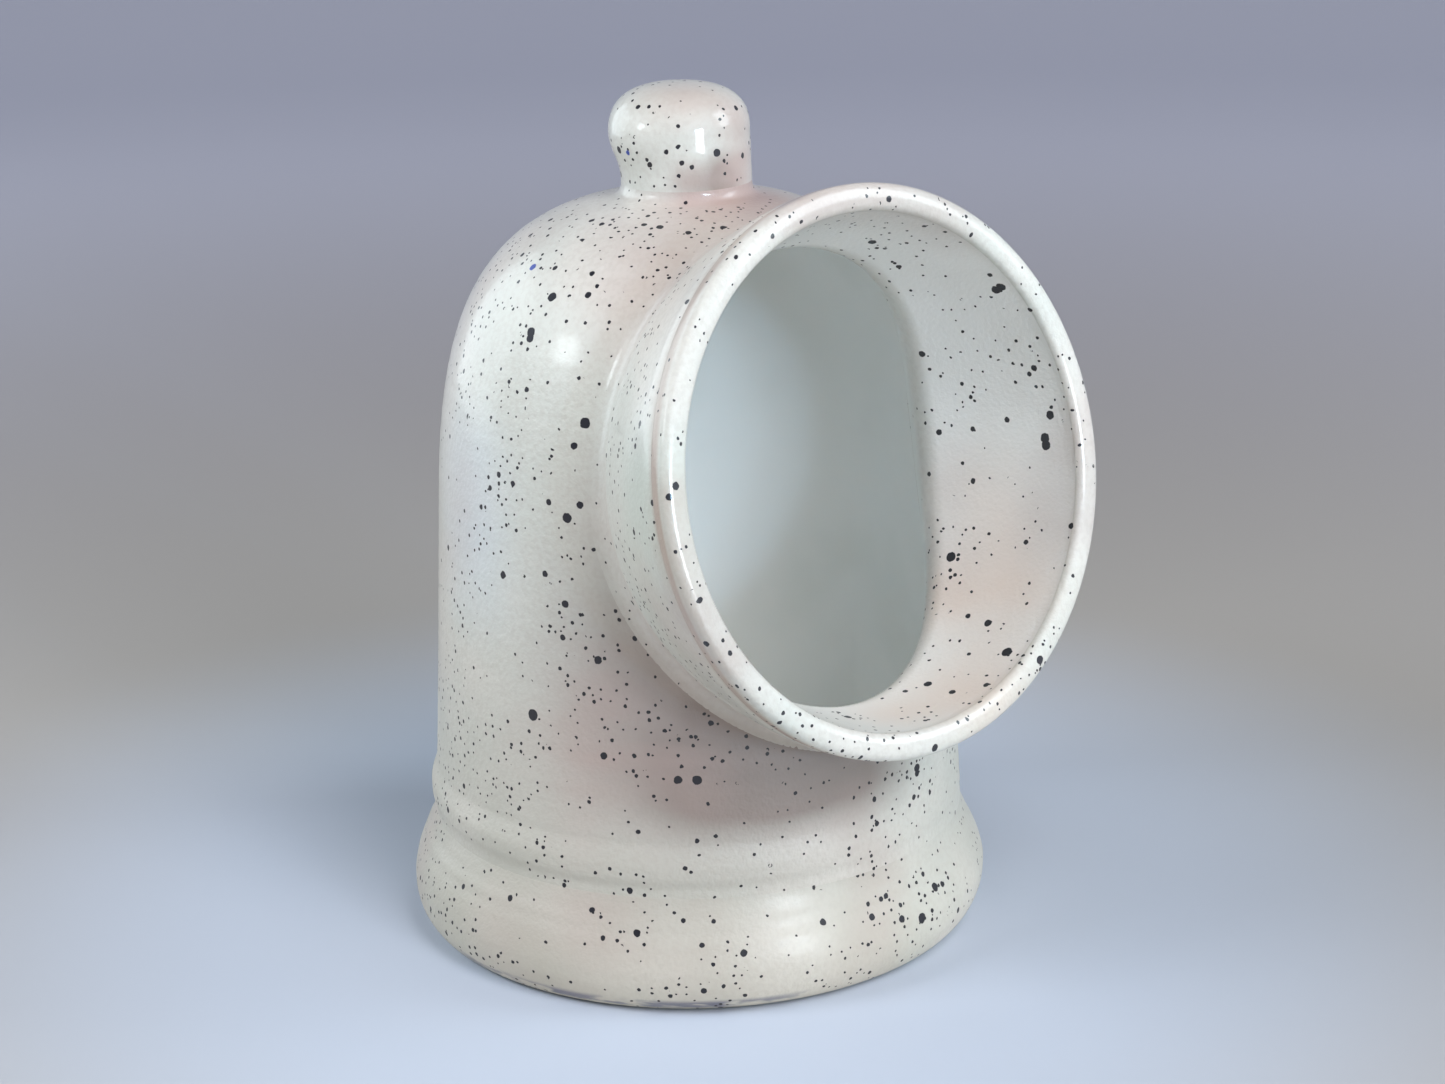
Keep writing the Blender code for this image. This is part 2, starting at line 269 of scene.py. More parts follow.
def iron_specks(place, cell, share, smallest, largest, shift, crowd=0):
    """How dark the iron specks of one size are here: flat round spots, more where crowd is high.

    They stand one in each cell, in a share of the cells, and gather in clusters."""
    moved = place.vector("ADD", place, shift)
    settings = {"voronoi_dimensions": "3D", "feature": "F1"}
    middle = moved.node("TexVoronoi", settings, {"Vector": moved, "Scale": 1 / cell}, "Position")
    dice = Shade(middle.socket.node.outputs["Color"])
    size_dice = dice.node("SeparateColor", None, {0: dice}, "Red")
    share_dice = Shade(size_dice.socket.node.outputs["Green"])
    dark_dice = Shade(size_dice.socket.node.outputs["Blue"])
    facing = place.node("TexCoord", None, None, "Normal")
    offset = moved.vector("SUBTRACT", moved, middle)
    reach = offset.length()
    depth = offset.dot(facing)
    distance = (reach * reach - depth * depth).over(0) ** 0.5
    near_face = depth * depth < (SPECK_DEPTH * cell) ** 2
    radius = smallest + (largest - smallest) * size_dice**2
    cover = ((radius - distance) * (1 / (SPECK_EDGE_FINE * smallest)) + 0.5).clamped()
    cluster = place.noise(CLUSTER_SIZE, 0.0).fade(0.36, 0.68)
    present = share_dice < share * (LONE_SPECKS + CLUSTERED_SPECKS * cluster + crowd)
    return cover * present * near_face * (FAINTEST_SPECK + (1 - FAINTEST_SPECK) * dark_dice)


def seen_on(mesh, marks):
    """Marks in the photograph, each a pixel's place and more, as places on a mesh and more."""
    tree = BVHTree.FromPolygons([v.co for v in mesh.vertices], [p.vertices for p in mesh.polygons])
    placed = []
    for across, down, *more in marks:
        hit = tree.ray_cast(CAMERA_PLACE, sight(across, down))[0]
        if hit is None:
            raise ValueError(f"no clay at pixel {across}, {down}")
        placed.append((hit * MILLIMETRES, *more))
    return placed


def spot_cover(place, spots):
    """How far large specks, each a place and a diameter in millimetres, cover this place."""
    deepest = None
    for centre, diameter in spots:
        depth = diameter / 2 - place.distance(centre)
        deepest = depth if deepest is None else deepest.over(depth)
    return (deepest * SPECK_EDGE + 0.5).clamped()


def patch_cover(place, soft_patches):
    """How far soft round patches, each a place, a radius and a strength, cover this place."""
    total = None
    for centre, radius, strength in soft_patches:
        cover = strength * place.distance(centre).fade(radius, 0)
        total = cover if total is None else total + cover
    return total


def covered_by(mesh, patches):
    """A function that says how far soft patches, seen by their pixels on a mesh, cover a place."""
    soft_patches = seen_on(mesh, patches)
    return lambda place: patch_cover(place, soft_patches)


def bump(height, strength, depth):
    """A surface that stands out where height is high, by a depth in metres."""
    return height.node("Bump", None, {"Height": height, "Strength": strength, "Distance": depth})


def speckled_glaze(
    name, mesh, specks=(), cobalt=(), blushes_and_shade=(), tinges=(), crowds=(), lined=None, matt=None,
    gloss=0.7, softness=0.15
):
    """Off-white satin-gloss glaze with iron specks, placed where the photograph shows the large ones.

    blushes_and_shade are pink patches, of glaze blush and of painted warm shade, tinges are colours and
    where they show, crowds are patches with more or fewer fine specks, and lined names a value that is 1
    under the plain liner. gloss is how much the clear coat reflects, softness how far it blurs that, and
    matt a function that is 1 where it is lost."""
    material, sockets, place = new_glaze(name)
    mottle = place.noise(MOTTLE_SIZE)
    cloud = place.vector("ADD", place, CLOUD_SHIFT).noise(CLOUD_SIZE, 1.0)
    grain = place.noise(GRAIN_SIZE)
    colour = mottle.fade(0.35, 0.65).tint(CREAM, CREAM_THICK)
    colour = (GRAIN_COVER * grain.fade(0.60, 0.34)).tint(colour, CREAM_THIN)
    for tinge, cover in tinges:
        colour = (cover(place) * (0.2 + mottle)).clamped().tint(colour, tinge)
    pink = CLOUD_BLUSH * cloud.fade(0.50, 0.72)
    if blushes_and_shade:
        pink = pink + patch_cover(place, blushes_and_shade)
    streak = place.vector("MULTIPLY", place, STREAK_STRETCH).noise(STREAK_SIZE, 1.0)
    pink = (pink * (0.65 + 0.7 * streak)).clamped()
    colour = pink.tint(colour, BLUSH_AND_SHADE_PINK)
    bent = uneven_place(place, RAGGED_SIZE, RAGGED)
    crowd = patch_cover(place, seen_on(mesh, crowds)) if crowds else 0
    fine = iron_specks(bent, **FINE_SPECKS, crowd=crowd)
    medium = iron_specks(bent, **MEDIUM_SPECKS, crowd=crowd)
    unseen = place.dot(tuple(TO_CAMERA)).fade(-2, -12)
    large = iron_specks(bent, **LARGE_SPECKS) * unseen
    dark = fine.over(medium).over(large)
    if specks:
        dark = dark.over(spot_cover(bent, seen_on(mesh, specks)))
    sockets["Coat Weight"].default_value = gloss
    if matt is not None:
        feed(sockets["Coat Weight"], gloss * (1 - matt(place)))
    if lined is not None:
        liner_share = place.node("Attribute", {"attribute_name": lined}, None, "Fac")
        dark = dark * (1 - liner_share)
        colour = liner_share.tint(colour, LINER)
        feed(sockets["Coat Weight"], gloss * (1 - liner_share))
    colour = (dark.fade(0.0, 0.5) * HALO_COVER).tint(colour, IRON_HALO)
    colour = dark.fade(0.2, 0.7).tint(colour, IRON)
    if cobalt:
        colour = spot_cover(bent, seen_on(mesh, cobalt)).tint(colour, COBALT)
    feed(sockets["Base Color"], colour)
    feed(sockets["Roughness"], ROUGHNESS + 0.10 * dark + 0.08 * mottle)
    sockets["Coat Roughness"].default_value = softness
    peel = place.noise(PEEL_SIZE, 3.0) + PEEL_WAVE * place.noise(PEEL_WAVE_SIZE, 1.0)
    feed(sockets["Normal"], bump(peel, PEEL_PER_SOFTNESS * softness, PEEL_DEPTH))
    return material


LINER_THIN = linear(227, 229, 225)
LINER_CLOUD_SIZE = 26.0
LINER_PEEL_SIZE = 4.0
LINER_PEEL_DEPTH = 0.0003


def liner_glaze(name):
    """Smooth plain glaze poured round the inside, a little thinner here and there."""
    material, sockets, place = new_glaze(name)
    thin = place.noise(LINER_CLOUD_SIZE).fade(0.42, 0.72)
    feed(sockets["Base Color"], thin.tint(LINER, LINER_THIN))
    feed(sockets["Roughness"], 0.30 + 0.15 * thin)
    feed(sockets["Normal"], bump(place.noise(LINER_PEEL_SIZE), 0.15, LINER_PEEL_DEPTH))
    return material


RAW_CLAY = linear(178, 160, 138)
RAW_CLAY_DARK = linear(138, 120, 102)
SAND_SIZE = 0.6
SAND_DEPTH = 0.0002
STAIN_SIZE = 14.0
CLAY_SPECKS = {"cell": 2.2, "share": 0.5, "smallest": 0.15, "largest": 0.4, "shift": (5, 9, 2)}


def raw_clay(name):
    """Bare fired stoneware under the foot: buff, with sandy grains and iron specks, matt."""
    material, sockets, place = new_glaze(name)
    sand = place.noise(SAND_SIZE, 3.0)
    stain = place.noise(STAIN_SIZE, 3.0)
    colour = (0.5 * sand + 0.5 * stain).fade(0.35, 0.65).tint(RAW_CLAY, RAW_CLAY_DARK)
    dark = iron_specks(place, **CLAY_SPECKS)
    feed(sockets["Base Color"], dark.tint(colour, IRON))
    feed(sockets["Roughness"], 0.82 + 0.12 * sand)
    feed(sockets["Normal"], bump(sand, 0.5, SAND_DEPTH))
    return material


def bezier(start, start_pull, end_pull, end, steps):
    """Points along a cubic curve from start to end, both included; the points may be arrays."""
    share = np.linspace(0, 1, steps + 1).reshape(-1, *[1] * np.ndim(start))
    rest = 1 - share
    pulled = 3 * rest**2 * share * np.array(start_pull) + 3 * rest * share**2 * np.array(end_pull)
    return rest**3 * np.array(start) + pulled + share**3 * np.array(end)


def arc(centre, radii, start, end, steps):
    """Points along an ellipse's arc between two angles, both included."""
    angle = np.linspace(start, end, steps + 1)
    return np.stack([centre[0] + radii[0] * np.cos(angle), centre[1] + radii[1] * np.sin(angle)], axis=1)


def between(rounded, creased):
    """Rings of (radius, height) round the pot, from its outlines where it is wiped and creased.

    The seam's crease is full on the left, and wiped smooth on the right."""
    share = (0.5 + 0.5 * np.cos(around - CREASE_SIDE))[None, :, None]
    return rounded[:, None, :] * (1 - share) + creased[:, None, :] * share


def same_all_round(outline):
    """Rings of (radius, height) from one outline."""
    return np.repeat(np.array(outline, float)[:, None, :], TURN_STEPS, axis=1)


def wobble(turn, height):
    """How far the thrown wall stands out here: slow unevenness, and the fine rings of the fingers."""
    uneven = UNEVEN * np.sin(2 * turn + 0.9 + 14 * height) + UNEVEN_FINE * np.sin(3 * turn + 60 * height)
    rings = np.sin(math.tau * height / RING_PITCH + 0.7 * np.sin(turn))
    rings = rings + 0.7 * np.sin(math.tau * height / RING_PITCH_FINE + 0.5 * np.sin(2 * turn))
    near_seam = np.exp(-(((height - SEAM_HEIGHT) / SEAM_REACH) ** 2))
    return uneven + rings * (RING_DEPTH + RING_DEPTH_AT_SEAM * near_seam)


def turned(rings):
    """Points in space from rings of (radius, height)."""
    radius = rings[..., 0]
    return np.stack([radius * np.cos(around), radius * np.sin(around), rings[..., 1]], axis=-1)


def clay_piece(name, rings, coats=None, attributes=None):
    """A closed piece from rings of points that follow its outline round to where it began.

    coats gives the material of the strip after each ring, and attributes a value at each point."""
    count, steps = rings.shape[:2]
    index = np.arange(count * steps).reshape(count, steps)
    above = np.roll(index, -1, axis=0)
    faces = np.stack([index, np.roll(index, -1, axis=1), np.roll(above, -1, axis=1), above], axis=-1)
    mesh = bpy.data.meshes.new(name)
    mesh.from_pydata(rings.reshape(-1, 3).tolist(), [], faces.reshape(-1, 4).tolist())
    if coats is not None:
        mesh.polygons.foreach_set("material_index", np.repeat(coats, steps).astype(np.int32))
    for attribute, values in (attributes or {}).items():
        layer = mesh.attributes.new(attribute, "FLOAT", "POINT")
        layer.data.foreach_set("value", values.astype(np.float32).ravel())
    shape = bmesh.new()
    shape.from_mesh(mesh)
    bmesh.ops.remove_doubles(shape, verts=shape.verts, dist=WELD)
    bmesh.ops.dissolve_degenerate(shape, edges=shape.edges, dist=WELD)
    bmesh.ops.recalc_face_normals(shape, faces=shape.faces)
    shape.to_mesh(mesh)
    shape.free()
    mesh.shade_smooth()
    mesh.set_sharp_from_angle(angle=FLAT_ANGLE)
    piece = bpy.data.objects.new(name, mesh)
    bpy.context.scene.collection.objects.link(piece)
    return piece


def coat(piece, *materials):
    """Glazes a piece with its materials, in the order of its coats."""
    for material in materials:
        piece.data.materials.append(material)


def place_piece(piece, node):
    """The piece stands for its CAD node and rides on the pot."""
    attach(piece, "root")
    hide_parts(node)


def skirt_outline(foot_radius, widest_height, draw_in):
    """The dish's outside from the edge of the foot, round its widest place, to the seam."""
    rise = SEAM_HEIGHT - widest_height
    edge_radii = (SKIRT_RADIUS - foot_radius, widest_height)
    edge = arc((foot_radius, widest_height), edge_radii, -math.pi / 2, 0, steps=20)
    skirt = bezier(
        (SKIRT_RADIUS, widest_height),
        (SKIRT_RADIUS, widest_height + SKIRT_FULLNESS * rise),
        (SEAM_RADIUS + draw_in * (SKIRT_RADIUS - SEAM_RADIUS), SEAM_HEIGHT - SKIRT_FULLNESS * rise),
        (SEAM_RADIUS, SEAM_HEIGHT),
        steps=30,
    )
    return np.concatenate([edge, skirt[1:]])


foot_share = np.linspace(0, 1, 70)[:-1]
foot_rings = same_all_round(np.stack([foot_share * FOOT_RADIUS_ROUNDED, 0 * foot_share], axis=1))
groove = np.sin(math.tau * foot_rings[..., 0] / FOOT_GROOVE_PITCH + around)
groove = groove * np.sin(math.pi * foot_share)[:, None]
foot_rings[..., 1] = FOOT_GROOVE * (1 + groove) * np.minimum(1, (1 - foot_share) / FOOT_FLAT_EDGE)[:, None]
skirt_rings = between(
    skirt_outline(FOOT_RADIUS_ROUNDED, WIDEST_HEIGHT_ROUNDED, SKIRT_DRAW_IN_ROUNDED),
    skirt_outline(FOOT_RADIUS, WIDEST_HEIGHT, SKIRT_DRAW_IN),
)
skirt_calm = np.clip(skirt_rings[..., 1] / CALM_HEIGHT, 0, 1)
skirt_rings[..., 0] += wobble(around, skirt_rings[..., 1]) * skirt_calm
chamber_radius = SEAM_RADIUS - WALL
rim_inside = chamber_radius + TONGUE_THICKNESS
tongue_bottom = SEAM_HEIGHT - TONGUE_HEIGHT
gallery = [(rim_inside, SEAM_HEIGHT), (rim_inside, tongue_bottom), (chamber_radius, tongue_bottom)]
flat_radius = chamber_radius - FLOOR_FILLET
fillet_radii = (FLOOR_FILLET, FLOOR_FILLET)
floor_corner = arc((flat_radius, FLOOR + FLOOR_FILLET), fillet_radii, 0, -math.pi / 2, steps=10)
floor_rings = np.linspace(flat_radius, 0, 24)[1:]
dish_inside = np.concatenate([gallery, floor_corner, [(radius, FLOOR) for radius in floor_rings]])
dish_rings = np.concatenate([foot_rings, skirt_rings, same_all_round(dish_inside)])
SPECKLED, LINED, BARE = 0, 1, 2
dish_parts = [len(foot_rings), len(skirt_rings), len(dish_inside)]
dish_coats = np.repeat([BARE, SPECKLED, LINED], dish_parts)
base_dish = clay_piece("base_dish_clay", turned(dish_rings), dish_coats)
SKIRT_SPECKS = [
    (555, 869, 1.7), (637, 933, 1.4), (603, 938, 1.0), (744, 953, 1.4), (823, 922, 1.3), (872, 917, 1.3),
    (902, 919, 1.5), (922, 918, 2.1), (935, 887, 1.8), (942, 884, 1.1), (923, 874, 1.0), (510, 898, 1.3),
    (592, 910, 1.2), (697, 870, 1.6), (702, 865, 1.7), (832, 876, 1.0), (881, 899, 1.0), (886, 896, 1.1),
    (868, 904, 0.9), (498, 956, 0.9), (637, 861, 0.8), (473, 930, 0.9),
]
SKIRT_BLUSHES = [(590, 920, 18, 0.4), (700, 940, 24, 0.18), (500, 930, 16, 0.25)]
SKIRT_CROWDS = [(925, 885, 20, 1.2), (880, 890, 18, 0.6)]
SLATE = linear(108, 112, 132)
OATMEAL_TONE_AND_SHADE = linear(184, 181, 171)
WORN_DIRECTION = math.radians(-146)
WEAR_STRETCH = (0.4, 0.4, 1.5)
WEAR_SIZE = 3.0
# Patches of painted shade on the right of the dish.
SKIRT_SHADE_PATCHES = [(850, 905, 24, 0.75), (740, 920, 20, 0.25)]
skirt_shade_patches = seen_on(base_dish.data, SKIRT_SHADE_PATCHES)


def left_side(place):
    """1 on the side of the pot that the photograph shows on the left, and 0 on the other."""
    turn = CAMERA_TURN + math.pi
    return place.dot((math.cos(turn), math.sin(turn), 0)).fade(-15, 45)


def skirt_tone_and_shade(place):
    """Where the dish is painted darker: somewhat all over, and as painted shade on its left and in patches
    on its right.
    """
    return 0.55 + 0.55 * left_side(place) + patch_cover(place, skirt_shade_patches)


def foot_wear(place):
    """Where the glaze is worn grey along the edge of the foot, at the front."""
    height = place.height()
    facing = place.dot((math.cos(WORN_DIRECTION), math.sin(WORN_DIRECTION), 0))
    worn = place.vector("MULTIPLY", place, WEAR_STRETCH).noise(WEAR_SIZE).fade(0.42, 0.56)
    return 1.3 * worn * height.fade(3.8, 2.4) * height.fade(0.6, 1.6) * facing.fade(42, 52)


skirt_glaze = speckled_glaze(
    "skirt_glaze",
    base_dish.data,
    SKIRT_SPECKS,
    blushes_and_shade=seen_on(base_dish.data, SKIRT_BLUSHES),
    tinges=[(OATMEAL_TONE_AND_SHADE, skirt_tone_and_shade), (SLATE, foot_wear)],
    crowds=SKIRT_CROWDS,
    gloss=0.10,
)
coat(base_dish, skirt_glaze, liner_glaze("dish_liner"), raw_clay("bare_foot"))
place_piece(base_dish, "base_dish")

# Bell: thrown as one wall and closed into a dome, then cut open at the side for the mouth. It stands
# in the dish with a soft roll of clay over the seam, which is wiped away on the right.
SHOULDER_RADIUS = 0.0515
SHOULDER_HEIGHT = 0.0928
CROWN_HEIGHT = 0.1517
DOME_SIDE_FULLNESS = 0.65
DOME_TOP_FULLNESS = 0.78
ROLL_PROUD = 0.0011
ROLL_LENGTH = 0.0115
CALM_CROWN = 0.020


def wall_radius(height):
    """The bell's outside radius on its straight taper."""
    share = (height - SEAM_HEIGHT) / (SHOULDER_HEIGHT - SEAM_HEIGHT)
    return SEAM_RADIUS + share * (SHOULDER_RADIUS - SEAM_RADIUS)


def dome_outline(steps):
    """The bell's outside from its shoulder to the crown."""
    pull = SHOULDER_HEIGHT + DOME_SIDE_FULLNESS * (CROWN_HEIGHT - SHOULDER_HEIGHT)
    return bezier(
        (SHOULDER_RADIUS, SHOULDER_HEIGHT),
        (wall_radius(pull), pull),
        (DOME_TOP_FULLNESS * SHOULDER_RADIUS, CROWN_HEIGHT),
        (0, CROWN_HEIGHT),
        steps,
    )


def bell_outline(roll):
    """The bell's outside from its foot to the crown, with a roll of this height above the seam."""
    roll_top = SEAM_HEIGHT + ROLL_LENGTH
    heights = np.concatenate(
        [np.linspace(SEAM_HEIGHT, roll_top, 31)[:-1], np.linspace(roll_top, SHOULDER_HEIGHT, 81)[:-1]]
    )
    climb = np.clip((heights - SEAM_HEIGHT) / ROLL_LENGTH, 0, 1)
    radii = wall_radius(heights) + roll * np.sin(math.pi * climb) ** 2
    return np.concatenate([np.stack([radii, heights], axis=1), dome_outline(110)])


def unit(vectors):
    """The vectors, each made one long."""
    return vectors / np.linalg.norm(vectors, axis=1)[:, None]


bell_nominal = bell_outline(0)
bell_along = np.gradient(bell_nominal, axis=0)
bell_normals = unit(np.stack([bell_along[:, 1], -bell_along[:, 0]], axis=1))
bell_normals[-1] = (0, 1)
bell_rings = between(bell_nominal, bell_outline(ROLL_PROUD))
stand_out = wobble(around, bell_rings[..., 1]) * np.clip(bell_rings[..., 0] / CALM_CROWN, 0, 1)
bell_rings += stand_out[..., None] * bell_normals[:, None, :]
bell_lining = bell_nominal - WALL * bell_normals
bell_lining[-1, 0] = 0
tongue = gallery[::-1]
lining_rings = same_all_round(bell_lining[::-1][::2])
bell_coats = np.repeat([SPECKLED, LINED], [len(bell_rings), len(lining_rings) + len(tongue)])
all_bell_rings = np.concatenate([bell_rings, lining_rings, same_all_round(tongue)])
bell = clay_piece("bell_clay", turned(all_bell_rings), bell_coats)
BELL_SPECKS = [
    (533, 715, 2.3), (585, 423, 2.1), (574, 446, 1.4), (567, 518, 1.9), (580, 505, 1.4), (531, 332, 1.9),
    (530, 338, 1.7), (552, 297, 1.9), (588, 295, 1.3), (503, 575, 1.5), (545, 574, 1.2), (565, 604, 1.5),
    (598, 660, 1.6), (604, 756, 1.4), (678, 780, 1.6), (697, 780, 1.8), (917, 768, 1.9), (917, 773, 1.5),
    (660, 227, 1.4), (724, 228, 1.6), (607, 538, 1.2), (555, 268, 1.1), (679, 263, 1.2), (699, 262, 1.2),
    (490, 488, 1.1), (481, 507, 1.0), (914, 797, 1.2), (697, 841, 0.9), (448, 810, 1.2), (711, 723, 1.1),
    (648, 216, 1.0),
]
BELL_COBALT = [(533, 267, 1.5)]
# Pink patches: glaze blush, and under the collar and right of the knob's neck partly painted warm shade.
BELL_BLUSHES_AND_SHADE = [
    (745, 200, 26, 0.85), (690, 245, 26, 0.3), (645, 310, 24, 0.28), (640, 225, 24, 0.25),
    (620, 500, 20, 0.22), (650, 650, 40, 0.25), (700, 740, 52, 0.22), (800, 775, 40, 0.18),
    (580, 770, 36, 0.16),
]
BELL_CROWDS = [
    (665, 218, 20, 1.3), (745, 205, 18, 1.3), (700, 260, 24, 0.6), (630, 600, 26, 0.6),
    (700, 720, 30, 0.6), (915, 780, 16, 1.2), (450, 800, 16, 0.8),
]
REFLECTED_BLUE = linear(214, 224, 234)
# A painted reflection of the bluish backdrop, on the left of the bell.
BLUE_REFLECTION_PATCHES = [(465, 480, 22, 0.8), (470, 560, 22, 0.6)]
# A painted shade colour, laid as the collar's shadow on the bell and in the corner at the knob's neck.
SHADE_BROWN = linear(136, 127, 120)
COLLAR_SHADOW_PATCHES = [(670, 680, 40, 0.6), (720, 760, 38, 1.1), (800, 785, 36, 1.0), (860, 790, 26, 0.6)]
bell_blushes_and_shade = seen_on(bell.data, BELL_BLUSHES_AND_SHADE)
collar_shadow_patches = seen_on(bell.data, COLLAR_SHADOW_PATCHES)


def darker_low_and_left(place):
    """Where the bell is painted darker: towards the dish all round, and as painted shade further up on its
    left.
    """
    height = place.height()
    left = left_side(place)
    near_dish = (0.45 + 0.40 * left) * height.fade(48, 27)
    return near_dish.over(0.8 * left * height.fade(85, 24))


def matt_above_foot(place):
    """Where the glaze has no gloss on the bell: towards the foot."""
    return place.height().fade(60, 34)


def shadow_below_mouth(place):
    """Painted shadow of the collar, brown, on the wall below the mouth; it fades out towards the dish."""
    seam = MILLIMETRES * SEAM_HEIGHT
    return patch_cover(place, collar_shadow_patches) * place.height().fade(seam + 7, seam + 19)


bell_tinges = [
    (OATMEAL_TONE_AND_SHADE, darker_low_and_left),
    (SHADE_BROWN, shadow_below_mouth),
    (REFLECTED_BLUE, covered_by(bell.data, BLUE_REFLECTION_PATCHES)),
]
bell_glaze = speckled_glaze(
    "bell_glaze",
    bell.data,
    BELL_SPECKS,
    BELL_COBALT,
    bell_blushes_and_shade,
    bell_tinges,
    BELL_CROWDS,
    matt=matt_above_foot,
    softness=0.18,
)
coat(bell, bell_glaze, liner_glaze("bell_liner"))

# Mouth collar: a second thrown ring, like a bowl without its bottom, set over the hole with slip. Its
# lip is rolled back into a rounded band, and inside the edge is wiped soft into the bell's wall.
COLLAR_TILT = math.radians(13.5)
COLLAR_AXIS_HEIGHT = 0.0911
RIM_DISTANCE = 0.0599
RIM_INNER_RADIUS = 0.0489
LIP_THICKNESS = 0.0053
LIP_BAND = 0.0045
COLLAR_WALL = 0.0048
COLLAR_LENGTH = 0.0360
COLLAR_STRAIGHTNESS = 0.58
MOUTH_MARGIN = 0.0085
COLLAR_SQUEEZE = 0.042
INNER_EDGE_ROUND = 0.0045
FLANGE_LENGTH = 0.0014
FLANGE_LIFT = 0.00006
LIP_ROLL = 0.0024
LIP_ROLL_PULL = 0.0012
LIP_ROLL_END_PULL = 0.0004
LIP_ROUND = 0.0019
LIP_FULLNESS = 0.66
EDGE_PULL = 0.62
COLLAR_IN_BELL = 0.0022
AIM_STEP = 0.0005
SINK = 0.00018
collar_axis = np.array([0, -math.cos(COLLAR_TILT), math.sin(COLLAR_TILT)])
collar_up = np.array([0, math.sin(COLLAR_TILT), math.cos(COLLAR_TILT)])
collar_across = np.array([1.0, 0, 0])
collar_origin = np.array([0, 0, COLLAR_AXIS_HEIGHT])


def collar_radius(along, inside):
    """The collar's radius at a distance along its axis, without the lip."""
    root = wall_radius(COLLAR_AXIS_HEIGHT) - WALL - MOUTH_MARGIN
    band = 0 if inside else LIP_BAND
    share = np.clip((RIM_DISTANCE - band - along) / (COLLAR_LENGTH - band), 0, 1)
    drawn_in = COLLAR_STRAIGHTNESS * share + (1 - COLLAR_STRAIGHTNESS) * share**2
    return RIM_INNER_RADIUS - (RIM_INNER_RADIUS - root) * drawn_in + (0 if inside else COLLAR_WALL)


def squeeze(along):
    """How wide the collar is for its height, at a distance along its axis."""
    return 1 - COLLAR_SQUEEZE * np.clip((RIM_DISTANCE - along) / COLLAR_LENGTH, 0, 1)


def at_collar(radius, along):
    """Points round the collar's axis, at a radius and a distance along it for each step round."""
    sideways = (radius * squeeze(along) * np.cos(around))[..., None] * collar_across
    upwards = (radius * np.sin(around))[..., None] * collar_up
    forwards = np.asarray(along * np.ones_like(around))[..., None] * collar_axis
    return collar_origin + sideways + upwards + forwards


def collar_ring(along, inside, proud=0):
    """Points round a side of the collar at a distance along its axis, or proud of it."""
    return at_collar(collar_radius(along, inside) + proud, along)


def beside_outline(points, outline):
    """The places on a turned outline nearest to points, its normals, and how far outside the points are."""
    flat = np.stack([np.hypot(points[:, 0], points[:, 1]), points[:, 2]], axis=1)
    turn = np.arctan2(points[:, 1], points[:, 0])
    start = outline[:-1]
    along = outline[1:] - start
    length = np.linalg.norm(along, axis=1)
    share = np.clip(np.sum((flat[:, None] - start) * along, axis=2) / length**2, 0, 1)
    places = start + share[..., None] * along
    best = np.argmin(np.linalg.norm(flat[:, None] - places, axis=2), axis=1)
    place = places[np.arange(len(flat)), best]
    normal = np.stack([along[best, 1], -along[best, 0]], axis=1) / length[best, None]
    outside = np.sum((flat - place) * normal, axis=1)
    spin = np.stack([np.cos(turn), np.sin(turn)], axis=1)
    place = np.concatenate([place[:, :1] * spin, place[:, 1:]], axis=1)
    normal = np.concatenate([normal[:, :1] * spin, normal[:, 1:]], axis=1)
    return place, normal, outside


def bell_face(points):
    """The nearest places on the bell's real, uneven outside, the normals and the distances outside it."""
    place, normal, outside = beside_outline(points, bell_nominal)
    turn = np.arctan2(place[:, 1], place[:, 0])
    lift = wobble(turn, place[:, 2]) * np.clip(np.hypot(place[:, 0], place[:, 1]) / CALM_CROWN, 0, 1)
    return place + lift[:, None] * normal, normal, outside - lift


def lining_face(points):
    """The nearest places on the bell's inside, the normals into the hollow, and the distances into it."""
    place, normal, outside = beside_outline(points, bell_lining)
    return place, -normal, -outside


def meeting(inside, face, sign):
    """How far along its axis the collar's side meets a face of the bell, for each step round."""
    inner = np.zeros(TURN_STEPS)
    outer = np.full(TURN_STEPS, RIM_DISTANCE)
    for _ in range(36):
        middle = (inner + outer) / 2
        beyond = sign * face(collar_ring(middle, inside))[2] > 0
        outer = np.where(beyond, middle, outer)
        inner = np.where(beyond, inner, middle)
    return outer


def away_from_mouth(edge, normal):
    """Directions on the bell's face, square to the edge of the mouth and away from it."""
    seam = np.roll(edge, -1, axis=0) - np.roll(edge, 1, axis=0)
    away = unit(np.cross(seam, normal))
    outwards = np.cos(around)[:, None] * collar_across + np.sin(around)[:, None] * collar_up
    return away * np.sign(np.sum(away * outwards, axis=1))[:, None]


def along_face(directions, normal):
    """The directions, laid flat on a face and made one long."""
    return unit(directions - np.sum(directions * normal, axis=1)[:, None] * normal)


def toward(start, end):
    """Unit directions from points to others."""
    return unit(end - start)


